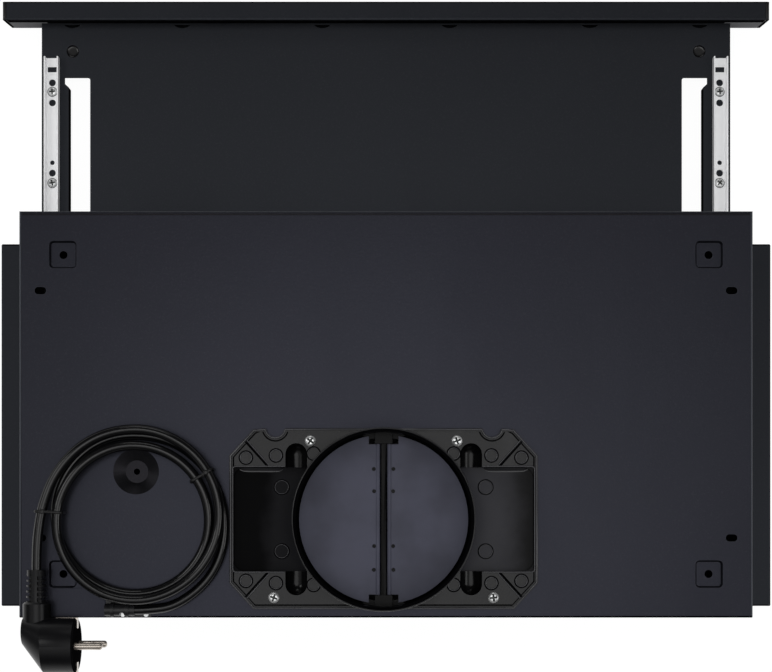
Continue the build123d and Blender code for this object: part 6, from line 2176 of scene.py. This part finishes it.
@dataclass
class Visor:
    """The sliding tray with its fascia, lamps and switches."""

    dents: tuple[Span, ...] = ((-246.8, -200.2), (246.8, -200.2))
    dent_radius: float = 4.9
    dent_depth: float = 1.5
    top: float = 19.5
    seal: Span = (-222.2, -216.2)
    seal_top: float = 14.2
    seal_height: float = 5.0
    half_width: float = 269.5
    fascia_line: Span = (-234.9, 31.8)
    fascia_roll: Span = (-222.3, 31.75)
    fascia_half: float = 298.0

    def hems(self, shop: Workshop) -> None:
        """The fascia's front fold with a painted shade line, and its rolled rear edge with a painted
        highlight.

        Args:
            shop: The workshop.
        """
        for name, place, radius, finish in (
            ("fascia_front_shade_line", self.fascia_line, 0.55, "fold shade black"),
            ("fascia_rear_roll", self.fascia_roll, 0.45, "roll highlight paint"),
        ):
            shop.surface(name, cross_line(radius, self.fascia_half, *place), "visor", finish, "fascia_steel")

    @staticmethod
    def faces_back(middle: Vector, normal: Vector) -> bool:
        """Whether a face of the fascia looks back at the hood."""
        return normal.y > 0.5

    @staticmethod
    def stands_up(middle: Vector, normal: Vector) -> bool:
        """Whether a face of the tray is one of its upright folds."""
        return abs(normal.z) < 0.3

    def cups(self, shop: Workshop) -> None:
        """Pressed cups in the tray's two front corners, darker than the tray: painted shade in the dips.

        Each is a profile turned about Z: at share t the radius is R (1 - t) and the depth is
        D (1 - (1 - t) ** 6) ** 0.5, a bowl with a broad floor.

        Args:
            shop: The workshop.
        """
        t = np.linspace(0, 1, 28)
        radius = self.dent_radius * (1 - t)
        depth = self.dent_depth * np.sqrt(1 - (1 - t) ** 6)
        profile = np.column_stack([radius, -depth]) * MM
        blocks = [turned_surface(profile, (x * MM, y * MM, self.top * MM), UP, 48) for x, y in self.dents]
        shop.surface("tray_cups", blocks, "visor", "cup shade gloss", "frame_metal")

    def seal_strip(self, shop: Workshop) -> None:
        """The foam strip under the tray's front bend, which closes the gap behind the fascia; its grey stands
        in for the shade seen through the notches in the bend.

        A rounded section, |y / a| ** 4 + |z / b| ** 4 = 1, carried along X and closed at both ends.

        Args:
            shop: The workshop.
        """
        turn = np.linspace(0, 2 * math.pi, 24, endpoint=False)
        size = (np.abs(np.cos(turn)) ** 4 + np.abs(np.sin(turn)) ** 4) ** -0.25
        share = np.array([0.0, 1.0, 1.0, 0.0])[:, None]
        x = np.array([-1.0, -1.0, 1.0, 1.0])[:, None] * self.half_width
        front, rear = self.seal
        half_depth, half_height = (rear - front) / 2, self.seal_height / 2
        y = (front + rear) / 2 + share * half_depth * (size * np.cos(turn))[None]
        z = self.seal_top - half_height + share * half_height * (size * np.sin(turn))[None]
        points = np.stack([np.broadcast_to(x, y.shape), y, z], axis=-1) * MM
        blocks = [(points, grid_faces(4, 24, False, True))]
        shop.surface("fascia_seal", blocks, "visor", "foam shade grey", "frame_metal", 50.0)

    def build(self, shop: Workshop) -> None:
        """Soften and dress the visor's pieces.

        Args:
            shop: The workshop.
        """
        self.cups(shop)
        self.seal_strip(shop)
        self.hems(shop)
        # The tray's upright folds and the end caps' backs get painted shade; the fascia's back gets painted
        # shade with painted light at its ends.
        folds = [("shade matt", self.stands_up)]
        lit_and_shaded_back = [("fascia back shade and light", self.faces_back)]
        shaded_back = [("shade matt", self.faces_back)]
        shop.softened("visor_tray", "tray paint", "frame_metal", 0.3, "visor", accents=folds)
        shop.softened("fascia", "fascia paint", "fascia_steel", 0.4, "visor", accents=lit_and_shaded_back)
        shop.softened("fascia_end_caps", "cap plastic", "plate_plastic", 0.3, "visor", accents=shaded_back)
        shop.softened("switch_housing", "cap plastic", "plate_plastic", 0.2, "visor")
        shop.softened("lamp_panel", "tray paint", "frame_metal", 0.2, "visor")
        shop.softened("lamp_bezels", "lamp frame", "lamp_frame", 0.25, "visor")
        shop.dress("lamp lens", "lamp_lenses")
        shop.dress("screw plate", "fascia_screws")
        for number in range(1, 6):
            shop.softened(f"push_button_{number}", "button steel", "button_metal", 0.2, f"button_{number}")


@dataclass(frozen=True)
class MeshField:
    """Where one filter's inner mesh lies: its body, its spans and its height, in millimetres."""

    name: str
    body: str
    across: Span
    along: Span
    height: float


@dataclass
class GreaseFilters:
    """The three filters, the crimped mesh inside them, and their latches."""

    fields: tuple[MeshField, ...] = (
        MeshField("visor_filter_mesh", "visor_filter", (-218.0, 218.0), (-165.0, 27.0), 4.8),
        MeshField("body_filter_mesh_left", "hood", (-232.0, -14.0), (-16.0, 205.0), 30.8),
        MeshField("body_filter_mesh_right", "hood", (14.0, 232.0), (-16.0, 205.0), 30.8),
    )
    pitch: float = 8.0
    crimp: float = 0.8
    wall: float = 0.3
    steps: int = 5

    def mesh_layers(self, shop: Workshop) -> None:
        """The crimped layer that fills each filter's openings.

        The sheet's height at (x, y) is its middle plus the crimp times sin (2 pi x / pitch)
        times sin (2 pi y / pitch). A Solidify modifier gives it its thickness.

        Args:
            shop: The workshop.
        """
        wave = 2 * math.pi / self.pitch
        for layer in self.fields:
            count_x = int((layer.across[1] - layer.across[0]) / self.pitch * self.steps)
            count_y = int((layer.along[1] - layer.along[0]) / self.pitch * self.steps)
            lines = np.linspace(*layer.across, count_x), np.linspace(*layer.along, count_y)
            x, y = np.meshgrid(*lines, indexing="ij")
            z = layer.height + self.crimp * np.sin(wave * x) * np.sin(wave * y)
            blocks = [(np.stack([x, y, z], axis=-1) * MM, grid_faces(count_x, count_y, False, False))]
            item = shop.surface(layer.name, blocks, layer.body, "mesh aluminium", "filter_aluminium", 80.0)
            wall = item.modifiers.new("wall", "SOLIDIFY")
            wall.thickness = self.wall * MM

    def build(self, shop: Workshop) -> None:
        """Dress the filters and soften the latches.

        Args:
            shop: The workshop.
        """
        self.mesh_layers(shop)
        shop.dress("filter aluminium", "body_filter_left", "body_filter_right", "visor_filter")
        for latch in ("visor_filter_latch", "body_filter_latch_left", "body_filter_latch_right"):
            shop.softened(latch, "latch plastic", "latch_plastic", 0.25, latch)


@dataclass
class Plug:
    """The angled plug, its pins, its earth clips and its strain relief."""

    @staticmethod
    def faces_pins(middle: Vector, normal: Vector) -> bool:
        """Whether a face of the plug is the one that its pins stand on."""
        return normal.x < -0.7

    def build(self, shop: Workshop, cord: MainsCord) -> list[Item]:
        """Soften and dress the plug's pieces, and tie the coil.

        Args:
            shop: The workshop.
            cord: The cord that the plug ends.

        Returns:
            The pieces that go with the cord.
        """
        # The pin face is painted dark: painted shade.
        face = [("shade matt", self.faces_pins)]
        made = [
            shop.softened("plug_body", "plug cover", "cord_rubber", 0.5, accents=face),
            shop.softened("plug_strain_relief", "plug cover", "cord_rubber", 0.3),
            CordTies().build(shop, cord),
            shop.softened("cord_clamp", "clamp plastic", "clamp_plastic", 0.3),
        ]
        shop.dress("pin plate", "plug_pins", "plug_earth_clips")
        shop.dress("screw plate", "clamp_screws")
        return made + [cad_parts[node] for node in ("plug_pins", "plug_earth_clips", "clamp_screws")]


def main() -> None:
    """Build the studio and every part of the hood, in order."""
    logging.basicConfig(level=logging.INFO, format="%(name)s: %(message)s")
    Studio().build()
    shop = Workshop(FinishRack())
    cord = MainsCord()
    cord.build(shop)
    Casing().build(shop)
    LowerFrame().build(shop)
    Outlet().build(shop)
    Blower().build(shop)
    Slides().build(shop)
    Visor().build(shop)
    GreaseFilters().build(shop)
    Plug().build(shop, cord)


if __name__ == "__main__":
    main()
